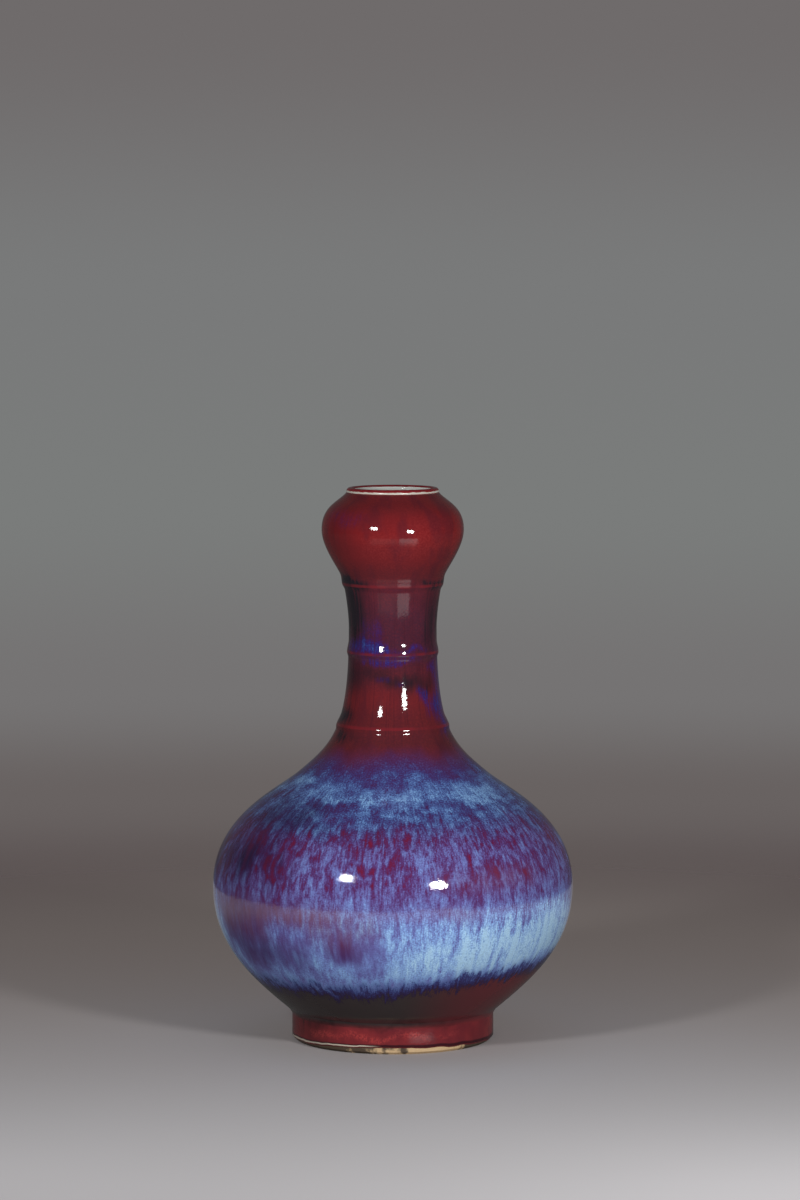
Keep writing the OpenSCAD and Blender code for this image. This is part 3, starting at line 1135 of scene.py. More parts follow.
    def inside(self) -> list[Point]:
        """Inner face of the clay from the lip down to the middle of the floor.

        Returns:
            Points of the inner face, from above.
        """
        land = self.mouth_r + self.lining_t
        floor = self.recess_depth + self.floor_t
        path = thinned(self.plain(), lambda _: self.HOLLOW_STEP)
        hollow = []
        for i in range(len(path) - 1, -1, -1):
            depth = self.glaze_t + self.wall(path[i][1])
            lean = normal(path, i)
            r, z = path[i][0] - depth * lean[0], path[i][1] - depth * lean[1]
            if z > floor + self.FLOOR_ROOM and (z < self.head[1] or r > land + self.LAND_ROOM):
                hollow.append((r, z))
        crown = math.tan(math.radians(self.crown_angle))
        land_low = (land, hollow[0][1] + (hollow[0][0] - land) * crown)
        last, before = hollow[-1], hollow[-2]
        slant = (before[0] - last[0]) / (before[1] - last[1])
        heel = (last[0] - (last[1] - floor) * slant, floor)
        heel_in = (heel[0] - math.dist(last, heel), floor)
        return [(land, self.lip_centre[1]), land_low, *hollow[:-1],
                *bezier((last, heel, heel, heel_in), self.HEEL_STEPS), heel_in, (0.0, floor)]


@dataclass(frozen=True)
class Ring:
    """Points of a closed cross-section.

    Attributes:
        points: places of the section, walked with its inside on the left.
        skin: for each point, 1 where it shows and 0 where it is hidden.
        edge: for each point, how far it follows the wandering lower edge.
    """

    points: list[Point]
    skin: list[float]
    edge: list[float]

    @classmethod
    def even(cls, points: list[Point]) -> Ring:
        """A section without swells and with a level edge."""
        still = [0.0] * len(points)
        return cls(points, still, still)


@dataclass(frozen=True)
class Unevenness:
    """How a coat departs from its outline.

    Attributes:
        depth: depth of the swells in the shown face.
        size: size of a swell.
        wander: how far the lower edge goes up and down.
        wave: width of its waves.
        drop: how much lower that edge lies at the left and the right.
    """

    depth: float = 0.0
    size: float = 0.025
    wander: float = 0.0
    wave: float = 0.012
    drop: float = 0.0


@dataclass
class Lathe:
    """Turns closed cross-sections round the axis by a tree of geometry nodes.

    Attributes:
        girth: radius at which the sizes of swells and waves are true.
        segments: number of steps round the axis.
        seed: start of the random fields.
        weld: distance within which points become one.
        sharp: angle from which an edge stays sharp, in degrees.
        tree: the tree of nodes.
        inputs: for each named input of the tree, its identifier.
    """

    girth: float
    segments: int = 192
    seed: float = 7.0
    weld: float = 1e-7
    sharp: float = 38.0
    tree: bpy.types.NodeTree = field(init=False)
    inputs: dict[str, str] = field(init=False)

    # Named inputs of the tree, and numbers on the points that only the tree needs
    INPUTS = (("Segments", "Int"), ("Seed", "Float"), ("Unevenness", "Float"), ("Uneven size", "Float"),
              ("Edge wander", "Float"), ("Edge size", "Float"), ("Edge drop", "Float"),
              ("Finish", "Material"))
    SCRATCH = ("turn", "radius_m", "height_m", "lean_r", "lean_z", "skin", "edge")

    def __post_init__(self) -> None:
        """Builds the tree once for all the pieces."""
        self.tree = bpy.data.node_groups.new("Thrown coat", "GeometryNodeTree")
        self.inputs = {}
        face = self.tree.interface
        face.new_socket("Section", in_out="INPUT", socket_type="NodeSocketGeometry")
        for name, kind in self.INPUTS:
            made = face.new_socket(name, in_out="INPUT", socket_type="NodeSocket" + kind)
            self.inputs[name] = made.identifier
        face.new_socket("Piece", in_out="OUTPUT", socket_type="NodeSocketGeometry")
        self._wire()

    def _node(self, kind: str, links: dict[object, object] | None = None,
              **settings: object) -> bpy.types.Node:
        """Adds a node to the tree.

        Args:
            kind: full type of the node.
            links: for an input's name or number, the socket or constant that it gets.
            settings: properties of the node.

        Returns:
            The new node.
        """
        made = self.tree.nodes.new(kind)
        for name, value in settings.items():
            setattr(made, name, value)
        for key, value in (links or {}).items():
            if isinstance(value, bpy.types.NodeSocket):
                self.tree.links.new(value, made.inputs[key])
            else:
                made.inputs[key].default_value = value
        return made

    def _math(self, operation: str, *values: Value) -> Socket:
        """Result of a Math node in the tree."""
        return self._node("ShaderNodeMath", dict(enumerate(values)), operation=operation).outputs[0]

    def _join(self, *parts: Value) -> Socket:
        """A vector of up to three numbers in the tree."""
        return self._node("ShaderNodeCombineXYZ", dict(enumerate(parts))).outputs[0]

    def _carried(self, name: str) -> Socket:
        """A number that the section's points carry."""
        return self._node("GeometryNodeInputNamedAttribute", {"Name": name}, data_type="FLOAT").outputs[0]

    def _swing(self, place: Socket, size: Socket, seed: Socket, amount: Socket) -> Socket:
        """A soft random field round zero.

        Args:
            place: place that is looked up.
            size: size of its swells.
            seed: start of the field.
            amount: how far it swings.

        Returns:
            The field.
        """
        scale = self._math("DIVIDE", 1.0, size)
        where = self._node("ShaderNodeVectorMath", {0: place, "Scale": scale}, operation="SCALE").outputs[0]
        noise = self._node("ShaderNodeTexNoise", {"Vector": where, "W": seed, "Scale": 1.0, "Detail": 2.0},
                           noise_dimensions="4D").outputs[0]
        return self._math("MULTIPLY", self._math("SUBTRACT", noise, 0.5), amount)

    def _wire(self) -> None:
        """Joins the nodes: section, turn round the axis, unevenness, merged poles and finish."""
        given = self._node("NodeGroupInput").outputs
        section = self._node("GeometryNodeMeshToCurve", {"Mesh": given["Section"]}).outputs[0]
        circle = self._node("GeometryNodeCurvePrimitiveCircle",
                            {"Resolution": given["Segments"], "Radius": 1.0}, mode="RADIUS").outputs[0]
        step = self._math("DIVIDE", math.tau, given["Segments"])
        turned_by = self._math("MULTIPLY", self._node("GeometryNodeInputIndex").outputs[0], step)
        marked = self._node("GeometryNodeStoreNamedAttribute",
                            {"Geometry": circle, "Name": "turn", "Value": turned_by},
                            data_type="FLOAT", domain="POINT").outputs[0]
        swept = self._node("GeometryNodeCurveToMesh", {"Curve": marked, "Profile Curve": section}).outputs[0]

        turn = self._carried("turn")
        across, ahead = self._math("SINE", turn), self._math("MULTIPLY", self._math("COSINE", turn), -1.0)
        height, radius = self._carried("height_m"), self._carried("radius_m")
        around = [self._math("MULTIPLY", part, self.girth) for part in (across, ahead)]
        swell = self._swing(self._join(*around, height), given["Uneven size"], given["Seed"],
                            given["Unevenness"])
        lift = self._math("MULTIPLY", self._carried("skin"), swell)
        wave = self._swing(self._join(*around), given["Edge size"], given["Seed"], given["Edge wander"])
        drop = self._math("MULTIPLY", self._math("MULTIPLY", across, across), given["Edge drop"])
        wander = self._math("MULTIPLY", self._carried("edge"), self._math("SUBTRACT", wave, drop))
        reach = self._math("ADD", radius, self._math("MULTIPLY", self._carried("lean_r"), lift))
        rise = self._math("ADD", self._math("ADD", height, wander),
                          self._math("MULTIPLY", self._carried("lean_z"), lift))
        spot = self._join(self._math("MULTIPLY", across, reach), self._math("MULTIPLY", ahead, reach), rise)

        made = swept
        for kind, settings in (("SetPosition", {"Position": spot}),
                               ("MergeByDistance", {"Distance": self.weld}),
                               ("SetShadeSmooth", {"Shade Smooth": True}),
                               ("RealizeInstances", {}),
                               ("SetMaterial", {"Material": given["Finish"]})):
            made = self._node("GeometryNode" + kind, {"Geometry": made, **settings}).outputs[0]
        self._node("NodeGroupOutput", {0: made})

    def section(self, name: str, ring: Ring, outline: Outline) -> bpy.types.Object:
        """Makes the wire of a cross-section, with what its points carry.

        Args:
            name: name of the piece.
            ring: closed cross-section.
            outline: sizes of the vase, for the ribs.

        Returns:
            The wire as an object.
        """
        count = len(ring.points)
        mesh = bpy.data.meshes.new(name)
        edges = [(i, (i + 1) % count) for i in range(count)]
        mesh.from_pydata([(r, 0.0, z) for r, z in ring.points], edges, [])
        loop = [*ring.points, *ring.points]
        leans = [normal(loop, i if i else count) for i in range(count)]
        runs = [0.0]
        for a, b in zip(ring.points, ring.points[1:]):
            runs.append(runs[-1] + math.dist(a, b))
        carried = {
            "radius_m": [p[0] for p in ring.points], "height_m": [p[1] for p in ring.points],
            "lean_r": [n[0] for n in leans], "lean_z": [n[1] for n in leans],
            "skin": ring.skin, "edge": ring.edge, "run_m": runs,
            "rib": [outline.rib_share(p[1]) * s for p, s in zip(ring.points, ring.skin)],
        }
        for key, values in carried.items():
            mesh.attributes.new(key, "FLOAT", "POINT").data.foreach_set("value", values)
        made = bpy.data.objects.new(name, mesh)
        bpy.context.scene.collection.objects.link(made)
        return made

    def turn(self, name: str, ring: Ring, outline: Outline, finish: bpy.types.Material,
             uneven: Unevenness = Unevenness()) -> bpy.types.Object:
        """Turns a cross-section into a closed piece.

        Args:
            name: name of the piece.
            ring: closed cross-section.
            outline: sizes of the vase.
            finish: material of the piece.
            uneven: how it departs from its outline.

        Returns:
            The finished piece, with a plain mesh.
        """
        piece = self.section(name, ring, outline)
        modifier = piece.modifiers.new("Thrown coat", "NODES")
        modifier.node_group = self.tree
        for key, value in (("Segments", self.segments), ("Seed", self.seed), ("Unevenness", uneven.depth),
                           ("Uneven size", uneven.size), ("Edge wander", uneven.wander),
                           ("Edge size", uneven.wave), ("Edge drop", uneven.drop), ("Finish", finish)):
            modifier[self.inputs[key]] = value
        piece.update_tag()
        graph = bpy.context.evaluated_depsgraph_get()
        wire = piece.data
        piece.data = bpy.data.meshes.new_from_object(piece.evaluated_get(graph), depsgraph=graph)
        piece.modifiers.remove(modifier)
        bpy.data.meshes.remove(wire)
        piece.data.name = name
        for key in self.SCRATCH:
            if key in piece.data.attributes:
                piece.data.attributes.remove(piece.data.attributes[key])
        self._turn_outwards(piece.data)
        piece.data.set_sharp_from_angle(angle=math.radians(self.sharp))
        return piece

    @staticmethod
    def _turn_outwards(mesh: bpy.types.Mesh) -> None:
        """Turns the faces of a closed mesh outwards.

        Args:
            mesh: the mesh.
        """
        work = bmesh.new()
        work.from_mesh(mesh)
        if work.calc_volume(signed=True) < 0:
            bmesh.ops.reverse_faces(work, faces=work.faces)
            work.to_mesh(mesh)
        work.free()


@dataclass
class GlazedBody:
    """The coats of glaze on the outside, the lip, the inside and the base of the vase.

    Attributes:
        outline: sizes of the vase.
        lathe: turns the cross-sections.
        poured: how the outer coat departs from its outline.
        edge_h: height over which the outer coat follows its wandering lower edge.
        step: distance between the points of the outer face.
        fine_step: that distance across ribs and in the foot's corner.
        back_step: that distance on the hidden face.
        rib_back_step: that distance on the hidden face behind ribs.
        corner_fillets: how many fillets round the foot's corner get the fine step.
        foot_steps: number of steps on the straight foot.
        lining_steps: number of steps of the lining round the lip.
        base_steps: number of steps of the base coat from the axis outwards.
    """

    outline: Outline
    lathe: Lathe
    poured: Unevenness = Unevenness(depth=0.00012, size=0.026, wander=0.0022, wave=0.016, drop=0.0024)
    edge_h: float = 0.007
    step: float = 0.0016
    fine_step: float = 0.0004
    back_step: float = 0.006
    rib_back_step: float = 0.0015
    corner_fillets: int = 3
    foot_steps: int = 12
    lining_steps: int = 4
    base_steps: int = 6

    def spacing(self, place: Point) -> float:
        """Distance between points that a place of the outer face needs.

        Args:
            place: the place.

        Returns:
            The distance.
        """
        sizes = self.outline
        near_rib = sizes.rib_share(place[1]) > 0
        near_corner = abs(place[1] - sizes.foot_h) < self.corner_fillets * sizes.foot_fillet
        return self.fine_step if near_rib or near_corner else self.step

    def outer_face(self) -> list[Point]:
        """Ribbed outline from the glaze's lower edge to the lip.

        Returns:
            Points of the outer face, from below.
        """
        sizes = self.outline
        ribbed = [(r + sizes.rib_h * sizes.rib_share(z), z) for r, z in sizes.plain()]
        start, count = sizes.bare_h + sizes.glaze_t, self.foot_steps
        straight = [(sizes.foot_r, start + (ribbed[0][1] - start) * i / count) for i in range(count)]
        return [*straight, *thinned(ribbed, self.spacing)]

    def flambe_coat(self, finish: bpy.types.Material) -> bpy.types.Object:
        """Builds the outer coat, which the red and the blue layer make up together.

        Args:
            finish: its material.

        Returns:
            The coat.
        """
        sizes = self.outline
        face = self.outer_face()
        back = []
        for i in range(len(face) - 1, -1, -1):
            lean = normal(face, i)
            p = (face[i][0] - sizes.glaze_t * lean[0], face[i][1] - sizes.glaze_t * lean[1])
            near = self.rib_back_step if sizes.rib_share(p[1]) > 0 else self.back_step
            if not back or math.dist(p, back[-1]) >= near:
                back.append(p)
        back[0] = sizes.lip_point(sizes.lip_root, glazed=False)
        back.append((sizes.foot_r - sizes.glaze_t, sizes.bare_h))
        points = [*face, *back]
        skin = [1.0] * len(face) + [0.0] * len(back)
        skin[len(face) - 1] = 0.0
        edge = [max(0.0, 1 - (z - sizes.bare_h) / self.edge_h) for _, z in points]
        piece = self.lathe.turn("flambe_coat", Ring(points, skin, edge), sizes, finish, self.poured)
        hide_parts("red_glaze", "blue_flow_glaze")
        return piece

    def lip_band(self, name: str, node: str, start: float, end: float,
                 finish: bpy.types.Material) -> bpy.types.Object:
        """Builds a band of glaze round the lip.

        Args:
            name: name of the piece.
            node: solid that it stands for.
            start: angle on the lip where it begins.
            end: angle on the lip where it ends.
            finish: its material.

        Returns:
            The band.
        """
        sizes = self.outline
        points = [*sizes.lip_arc(start, end), *reversed(sizes.lip_arc(start, end, glazed=False))]
        piece = self.lathe.turn(name, Ring.even(points), sizes, finish)
        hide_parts(node)
        return piece

    def lining(self, finish: bpy.types.Material) -> bpy.types.Object:
        """Builds the white coat of the whole inside.

        Args:
            finish: its material.

        Returns:
            The coat.
        """
        sizes = self.outline
        clay = sizes.inside()
        land = [(sizes.mouth_r, z) for _, z in clay[:2]]
        face = []
        for i, (r, z) in enumerate(clay[2:], 2):
            lean = normal(clay, i)
            face.append((max(r + sizes.lining_t * lean[0], 0.0), z + sizes.lining_t * lean[1]))
        face[-1] = (0.0, face[-1][1])
        arc, arc_clay = (sizes.lip_arc(sizes.crest_end, sizes.lip_inside, glazed, self.lining_steps)[:-1]
                         for glazed in (True, False))
        points = [*arc, *land, *face, *reversed(clay), *reversed(arc_clay)]
        piece = self.lathe.turn("white_lining", Ring.even(points), sizes, finish)
        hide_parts("inner_glaze")
        return piece

    def base_coat(self, finish: bpy.types.Material) -> bpy.types.Object:
        """Builds the brown coat in the recess under the foot.

        Args:
            finish: its material.

        Returns:
            The coat.
        """
        sizes = self.outline
        thick, deep, low = sizes.base_glaze_t, sizes.recess_depth, sizes.bare_h
        ceiling, count = deep - thick, self.base_steps
        points = [
            (0.0, deep), (0.0, ceiling),
            *[(sizes.ring_inner_r(ceiling) * i / count - thick, ceiling) for i in range(1, count + 1)],
            (sizes.ring_inner_r(low + thick) - thick, low + thick), (sizes.ring_inner_r(low), low),
            (sizes.ring_inner_r(deep), deep),
        ]
        piece = self.lathe.turn("base_coat", Ring.even(points), sizes, finish)
        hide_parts("base_glaze")
        return piece


@dataclass
class StandingRing:
    """The bare foot ring under the glazes.

    Attributes:
        outline: sizes of the vase.
        lathe: turns the cross-section.
        flat_steps: number of steps across the standing face.
        wall_levels: heights of the points on the outer wall.
    """

    outline: Outline
    lathe: Lathe
    flat_steps: int = 4
    wall_levels: tuple[float, ...] = (0.003, 0.006)

    def build(self, finish: bpy.types.Material) -> bpy.types.Object:
        """Builds the ring with its bevelled standing face.

        Args:
            finish: its material.

        Returns:
            The ring.
        """
        sizes = self.outline
        outer = sizes.foot_r - sizes.glaze_t
        bevel, high = sizes.foot_bevel, sizes.recess_depth - sizes.slip_t
        low_r, count = sizes.ring_inner_r(0.0) + bevel, self.flat_steps
        points = [
            (sizes.ring_inner_r(high), high), (sizes.ring_inner_r(bevel), bevel),
            *[(low_r + (outer - bevel - low_r) * i / count, 0.0) for i in range(count + 1)],
            (outer - bevel / 2, bevel / 2),
            *[(outer, level) for level in (bevel, *self.wall_levels, high)],
        ]
        piece = self.lathe.turn("bare_foot_ring", Ring.even(points), sizes, finish)
        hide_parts("foot_ring")
        return piece


@dataclass(frozen=True)
class Sheet:
    """A painted reflection of a sheet of paper on the table: a bright patch in the floor's emission, which
    only reflections show.

    Attributes:
        azimuth: direction of its middle in degrees.
        spread: half its width in degrees.
        near: distances from the axis between which it sets in.
        far: distances from the axis between which it ends.
        shine: how bright it is.
        low: whether it shows at a low angle only.
    """

    azimuth: float
    spread: float
    near: Span
    far: Span
    shine: float
    low: bool = False


@dataclass(frozen=True)
class Lamp:
    """A small round lamp.

    Attributes:
        name: its name.
        place: where it hangs.
        power: power in watts.
        wide: its width.
        high: its height.
    """

    name: str
    place: tuple[float, float, float]
    power: float
    wide: float
    high: float


@dataclass
class Studio:
    """Floor, lamps, surroundings and camera of the picture.

    Attributes:
        floor_r: radius of the floor.
        floor_steps: number of steps round its edge.
        papers: darker and paler grey of the floor.
        paper_clouds: settings of the field between them.
        warm_paper: colour of the floor behind the vase.
        warm_from: depths between which that colour sets in.
        fade: distances from the axis between which the camera loses the floor.
        table_r: distance from the axis at which the pale table ends in reflections.
        table_near: distances from the axis between which it sets in.
        table_shine: how bright it is behind the vase and in front of it.
        low_angle: facing levels between which the table and low sheets set in.
        room_shine: how bright the rest of the floor is in reflections.
        sheets: painted reflections of sheets of paper on the table.
        sheet_blur: softness of their sides.
        lamps: lamps in front, left and right.
        lamp_aim: place that the lamps face.
        ambient: colour of the soft light from the front.
        rear: colour of the soft light from behind.
        rear_from: depths of a direction between which that light sets in.
        rear_top: heights of a direction between which it ends.
        backdrop: elevations in degrees, each with the colour that the camera sees; its darkest band is a
            painted shadow.
        backdrop_sines: sines of the elevations at both ends of that gradient.
        rooms: colours of the room in front and behind, in reflections.
        room_from: depths of a direction between which the second one sets in.
        lens: focal length of the camera in millimetres.
        sensor: width of its sensor in millimetres.
        eye: place of the camera.
        tilt: how far it looks down, in degrees.
    """

    floor_r: float = 2.2
    floor_steps: int = 128
    papers: tuple[str, str] = ("a9a7a9", "b1afb1")
    paper_clouds: tuple[float, float] = (2.2, 3.0)
    warm_paper: str = "b1a7a4"
    warm_from: Span = (-0.25, 0.35)
    fade: Span = (0.36, 0.85)
    table_r: float = 0.60
    table_near: Span = (0.12, 0.40)
    table_shine: Span = (0.15, 1.1)
    low_angle: Span = (0.58, 0.80)
    room_shine: float = 0.06
    sheets: tuple[Sheet, ...] = (
        Sheet(27, 15, (0.30, 0.55), (0.88, 0.74), 1.2),
        Sheet(-14.5, 23, (0.35, 0.45), (0.81, 0.77), 0.2),
        Sheet(24, 10, (0.076, 0.094), (0.118, 0.102), 0.9, low=True),
    )
    sheet_blur: float = 0.012
    lamps: tuple[Lamp, ...] = (
        Lamp("left_lamp", (-0.315, -0.557, 0.385), 1.7, 0.095, 0.085),
        Lamp("right_lamp", (0.304, -0.574, 0.298), 2.3, 0.105, 0.085),
    )
    lamp_aim: tuple[float, float, float] = (0.0, 0.0, 0.13)
    ambient: Colour = (0.14, 0.133, 0.1302, 1.0)
    rear: Colour = (1.5, 1.5, 1.5, 1.0)
    rear_from: Span = (0.0, 0.9)
    rear_top: Span = (0.6, 0.2)
    # The darkest stop, at -8.8 degrees, is a painted shadow: it stands for the vase's shadows on the floor
    # behind
    backdrop: Stops = (
        (-12.5, "6a6361"), (-8.8, "595050"), (-7.5, "686261"), (-6.2, "757373"), (-3.8, "7a7c7b"),
        (-1.2, "797a7a"), (2.3, "6f6b6b"), (6.5, "625f5f"),
    )
    backdrop_sines: Span = (-0.22, 0.12)
    rooms: tuple[Colour, Colour] = ((0.02, 0.02, 0.022, 1.0), (0.08, 0.08, 0.08, 1.0))
    room_from: Span = (0.2, 0.9)
    lens: float = 135.43
    sensor: float = 36.0
    eye: tuple[float, float, float] = (0.0038, -2.3521, 0.4387)
    tilt: float = 5.047

    def lay_floor(self) -> None:
        """Lays the pale floor, which fades into the surroundings further off."""
        mesh = bpy.data.meshes.new("pale_floor")
        work = bmesh.new()
        bmesh.ops.create_circle(work, cap_ends=True, segments=self.floor_steps, radius=self.floor_r)
        work.to_mesh(mesh)
        work.free()
        made = bpy.data.objects.new("pale_floor", mesh)
        bpy.context.scene.collection.objects.link(made)
        mesh.materials.append(self.floor_finish())

    def floor_finish(self) -> bpy.types.Material:
        """Makes the matt floor, which fades for the camera and, in reflections, shows a painted reflection
        of a lit table as an emission.

        Returns:
            The material of the floor.
        """
        made = bpy.data.materials.new("pale_floor")
        made.use_nodes = True
        graph = Graph(made.node_tree)
        place = graph.node("TexCoord").outputs["Object"]
        x, y, _ = graph.split(place)
        level = graph.join(x, y, 0.0)
        away = graph.vector("LENGTH", level, output="Value")
        path = graph.node("LightPath").outputs
        paper = graph.blend(graph.noise(place, *self.paper_clouds), *self.papers)
        paper = graph.blend(graph.rise(y, *self.warm_from), paper, self.warm_paper)
        # Painted reflection: glossy rays see the floor as an emission of set brightness, not as lit paper
        mirrored = graph.node("Emission", graph.grey(self.table(graph, level, away)))
        seen = graph.times(path["Is Camera Ray"], graph.rise(away, *self.fade))
        mixed = graph.node("BsdfDiffuse", paper)
        for share, other in ((seen, graph.node("BsdfTransparent")), (path["Is Glossy Ray"], mirrored)):
            mixed = graph.node("MixShader", share, mixed.outputs[0], other.outputs[0])
        graph.node("OutputMaterial", mixed.outputs[0])
        return made

    def table(self, graph: Graph, level: Socket, away: Socket) -> Socket:
        """Builds the painted reflection of a lit table and of sheets of paper on it, an emission that only
        reflections show.

        Args:
            graph: tree that takes the nodes.
            level: place on the floor.
            away: distance from the axis.

        Returns:
            How bright the floor's emission is in reflections.
        """
        ahead = graph.vector("NORMALIZE", level)
        front = graph.times(graph.rise(graph.towards(ahead, 0.0), -1.0, 1.0, *self.table_shine),
                            graph.rise(away, *self.table_near))
        sheen = graph.rise(graph.node("LayerWeight").outputs["Facing"], *self.low_angle)
        bright = graph.times(graph.math("LESS_THAN", away, self.table_r), front, sheen)
        for sheet in self.sheets:
            side = math.cos(math.radians(sheet.spread))
            across = graph.rise(graph.towards(ahead, sheet.azimuth), side - self.sheet_blur,
                                side + self.sheet_blur, 0.0, sheet.shine)
            laid = graph.times(across, graph.between(away, sheet.near, sheet.far))
            if sheet.low:
                laid = graph.times(laid, sheen)
            bright = graph.math("MAXIMUM", bright, laid)
        return graph.total(bright, self.room_shine)

    def hang_lamps(self) -> None:
        """Sets the two small round lamps in front, left and right."""
        for lamp in self.lamps:
            data = bpy.data.lights.new(lamp.name, "AREA")
            data.shape = "ELLIPSE"
            data.size, data.size_y = lamp.wide, lamp.high
            data.energy = lamp.power
            made = bpy.data.objects.new(lamp.name, data)
            made.location = lamp.place
            sight = Vector(self.lamp_aim) - made.location
            made.rotation_euler = sight.to_track_quat("-Z", "Y").to_euler()
            made.visible_camera = False
            bpy.context.scene.collection.objects.link(made)

    def paint_surroundings(self) -> None:
        """Paints the grey surroundings: a soft gradient for the camera, with a painted shadow in its darkest
        band, and a dark room in reflections.
        """
        world = bpy.data.worlds.new("grey_studio")
        world.use_nodes = True
        bpy.context.scene.world = world
        graph = Graph(world.node_tree)
        _, ahead, up = graph.split(graph.node("TexCoord").outputs["Generated"])
        path = graph.node("LightPath").outputs
        low, high = self.backdrop_sines
        stops = [((math.sin(math.radians(e)) - low) / (high - low), code) for e, code in self.backdrop]
        seen = graph.ramp(graph.math("DIVIDE", graph.less(up, low), high - low), stops, "EASE")
        mirrored = graph.blend(graph.rise(ahead, *self.room_from), *self.rooms)
        behind = graph.times(graph.rise(ahead, *self.rear_from), graph.rise(up, *self.rear_top))
        colour = graph.blend(behind, self.ambient, self.rear)
        for kind, shown in (("Is Glossy Ray", mirrored), ("Is Camera Ray", seen)):
            colour = graph.blend(path[kind], colour, shown)
        back = graph.node("Background", colour)
        graph.node("OutputWorld", back.outputs[0])

    def set_camera(self) -> None:
        """Sets the camera at the photograph's viewing angle."""
        data = bpy.data.cameras.new("front_camera")
        data.lens = self.lens
        data.sensor_width = self.sensor
        made = bpy.data.objects.new("front_camera", data)
        made.location = self.eye
        made.rotation_euler = (math.radians(90.0 - self.tilt), 0.0, 0.0)
        bpy.context.scene.collection.objects.link(made)
        bpy.context.scene.camera = made


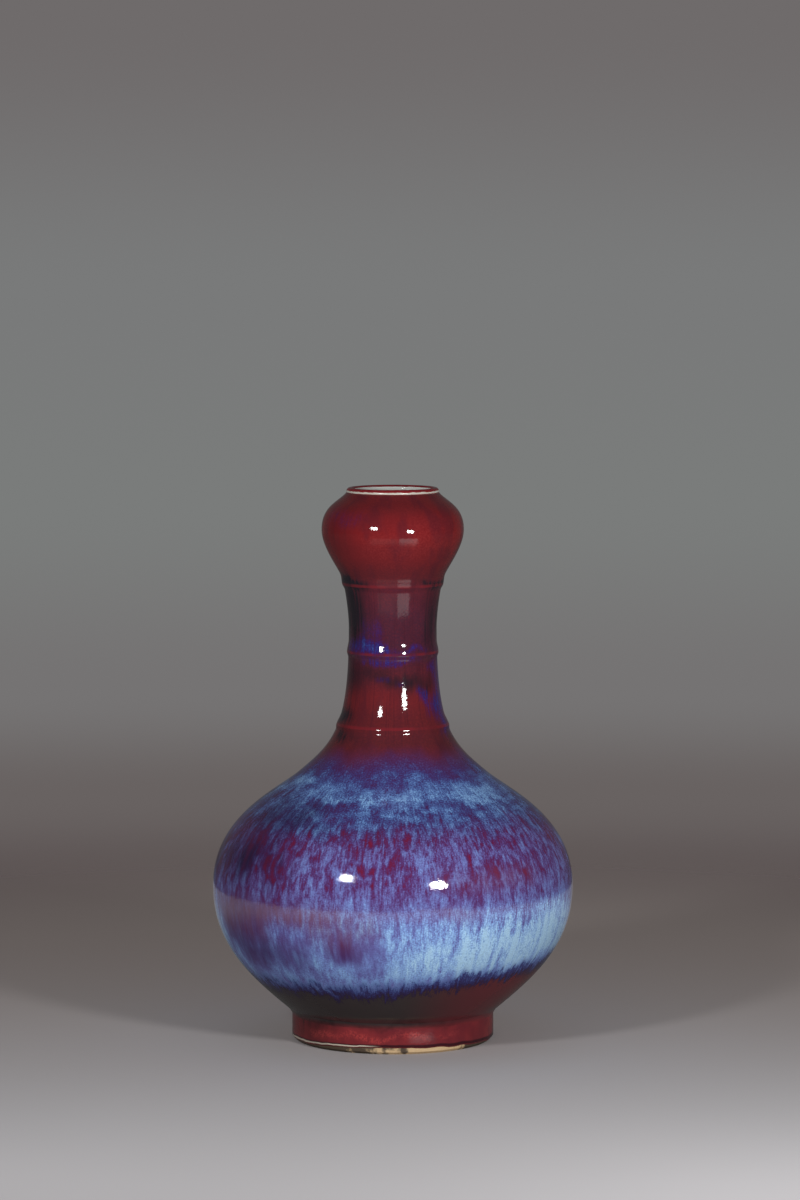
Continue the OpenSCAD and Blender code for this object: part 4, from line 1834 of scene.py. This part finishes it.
# Soft patches in the glaze, each with azimuth, height, half width, half height and gain
MARKS = {
    Tint.BLUE: (
        # Thinner blue on the left of the belly
        Mark(-62, 104, 30, 28, -0.12), Mark(-58, 66, 18, 28, -0.34), Mark(-46, 50, 22, 14, -0.18),
        Mark(-32, 58, 12, 16, -0.16), Mark(-12, 58, 11, 20, -0.30), Mark(-44, 103, 22, 12, -0.17),
        Mark(-28, 66, 18, 18, -0.10), Mark(-42, 80, 20, 10, -0.18), Mark(-36, 64, 12, 12, -0.08),
        # Pale pool on the right of the belly
        Mark(9, 54, 9, 14, 0.10), Mark(18, 52, 16, 14, 0.08), Mark(48, 62, 38, 24, 0.24),
        Mark(52, 79, 26, 10, 0.08), Mark(50, 131, 26, 9, 0.26), Mark(44, 99, 34, 13, -0.09),
        # Clouds on the shoulder, and two below them
        Mark(-46, 127, 20, 7, 0.08), Mark(6, 139.5, 12, 5, -0.12), Mark(0, 133, 12, 4, 0.07),
        Mark(14, 129.5, 24, 3, -0.24), Mark(-16, 132, 14, 4, 0.24), Mark(-16, 129.5, 16, 2.5, -0.14),
        Mark(22, 135, 10, 4, 0.10), Mark(8, 105, 10, 8, 0.15), Mark(-8, 102, 8, 6, -0.16),
        # Band and runs on the neck
        Mark(-26, 209, 22, 5, 0.42), Mark(-52, 208, 30, 7, 0.38), Mark(-32, 217, 20, 10, 0.20),
        Mark(34, 207, 22, 4, 0.26), Mark(0, 206, 34, 5, 0.20), Mark(-6, 201, 54, 4, 0.32),
        Mark(-14, 193, 14, 3, 0.24), Mark(12, 190, 12, 3, 0.22), Mark(42, 183, 9, 7, 0.36),
        Mark(56, 197, 14, 5, 0.18), Mark(78, 188, 26, 30, 0.32), Mark(62, 176, 22, 12, 0.30),
        Mark(72, 164, 26, 9, 0.30),
        # Breath of blue on the head
        Mark(-46, 276, 30, 8, 0.12),
        # Back and sides
        Mark(150, 62, 40, 24, 0.12), Mark(-130, 98, 36, 14, -0.12), Mark(108, 72, 16, 22, -0.30),
        Mark(-165, 70, 18, 20, -0.25), Mark(-104, 60, 26, 18, 0.06), Mark(170, 210, 40, 11, 0.6),
    ),
    Tint.RUST: (
        # Smears on the belly
        Mark(-17, 61, 6, 13, 0.55), Mark(-14, 57, 6, 10, 0.45), Mark(-11, 71, 10, 14, 0.38),
        Mark(-24, 68, 7, 12, 0.25), Mark(-31, 76, 18, 10, 0.55), Mark(-57, 68, 17, 24, 0.62),
        Mark(22, 77, 7, 8, 0.25), Mark(36, 95, 26, 11, 0.38),
        # Back and sides
        Mark(120, 70, 14, 16, 0.5), Mark(-150, 68, 16, 16, 0.5),
    ),
    Tint.SOOT_AND_SHADE: (
        # Left of the belly and the shoulder
        Mark(-63, 102, 32, 24, 0.62), Mark(-64, 68, 22, 24, 0.20), Mark(-44, 53, 24, 13, 0.3),
        Mark(-50, 124, 30, 13, 0.55), Mark(-46, 104, 22, 16, 0.14),
        # Both sides of the neck, painted shade with dark runs in it, and the drips under its middle rib
        Mark(-72, 226, 48, 24, 1.4), Mark(-76, 192, 50, 16, 0.65), Mark(62, 222, 22, 26, 0.7),
        Mark(-24, 195, 26, 6, 0.5), Mark(8, 191, 30, 5, 0.6), Mark(38, 188, 26, 7, 0.65),
        # Under the lower rib, and at the upper one: painted shade in these creases at the sides, over dark
        # glaze
        Mark(-82, 171, 40, 7, 0.9), Mark(-56, 161, 20, 6, 0.7), Mark(66, 160, 26, 9, 0.3),
        Mark(-60, 240.5, 40, 4, 1.0), Mark(62, 240.5, 40, 3.5, 0.8),
        # Back of the neck, and painted shade on the left of the head
        Mark(140, 220, 24, 30, 0.7), Mark(-150, 184, 30, 14, 0.6), Mark(-60, 266, 34, 20, 0.22),
        # Foot: painted shade on its left, and dark glaze in its upper corner
        Mark(-52, 14, 26, 6, 0.5), Mark(0, 15, 60, 3, 0.35), Mark(-64, 8, 36, 9, 0.45),
    ),
    Tint.FLAME: (
        # Squiggle on the foot
        Mark(-44, 8, 14, 3, 0.9), Mark(-10, 9, 28, 3, 0.8), Mark(16, 8.5, 8, 2.5, 0.7),
        Mark(34, 9.5, 12, 2, 0.4),
        # Head
        Mark(44, 266, 34, 16, 0.13), Mark(0, 262, 34, 14, 0.10),
        # Back of the foot
        Mark(100, 9, 30, 5, 0.6), Mark(-150, 8, 40, 5, 0.6),
    ),
}


def main() -> None:
    """Builds the vase piece by piece, dresses what stays of the solids, and sets the studio."""
    logging.basicConfig(level=logging.INFO, format="%(message)s")
    outline = Outline()
    girth = outline.belly[0]
    lathe = Lathe(girth)
    body = GlazedBody(outline, lathe)
    flambe = FlambeGlaze("flambe_glaze", around_r=girth, top=outline.top, marks=MARKS)
    pieces = [
        body.flambe_coat(flambe.material()),
        body.lip_band("white_line", "white_rim_line", outline.lip_root, outline.line_end,
                      DrainedWhite("drained_white").material()),
        body.lip_band("red_crest", "lip_glaze", outline.line_end, outline.crest_end,
                      CrestRed("crest_red").material()),
        body.lining(LiningWhite("lining_white").material()),
        body.base_coat(BaseBrown("base_brown").material()),
        StandingRing(outline, lathe).build(BareFoot("bare_foot").material()),
    ]
    for piece in pieces:
        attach(piece, BODY)
        LOG.info("piece %s: %d faces", piece.name, len(piece.data.polygons))

    clay = PlainClay("porcelain_clay").material()
    slip = LutingSlip("luting_slip").material()
    for name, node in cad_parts.items():
        node.data.materials.clear()
        node.data.materials.append(slip if name.endswith("slip") else clay)
        LOG.info("solid %s dressed", name)

    studio = Studio()
    studio.lay_floor()
    studio.hang_lamps()
    studio.paint_surroundings()
    studio.set_camera()
    bpy.context.scene.view_settings.view_transform = "Standard"


if __name__ == "__main__":
    main()
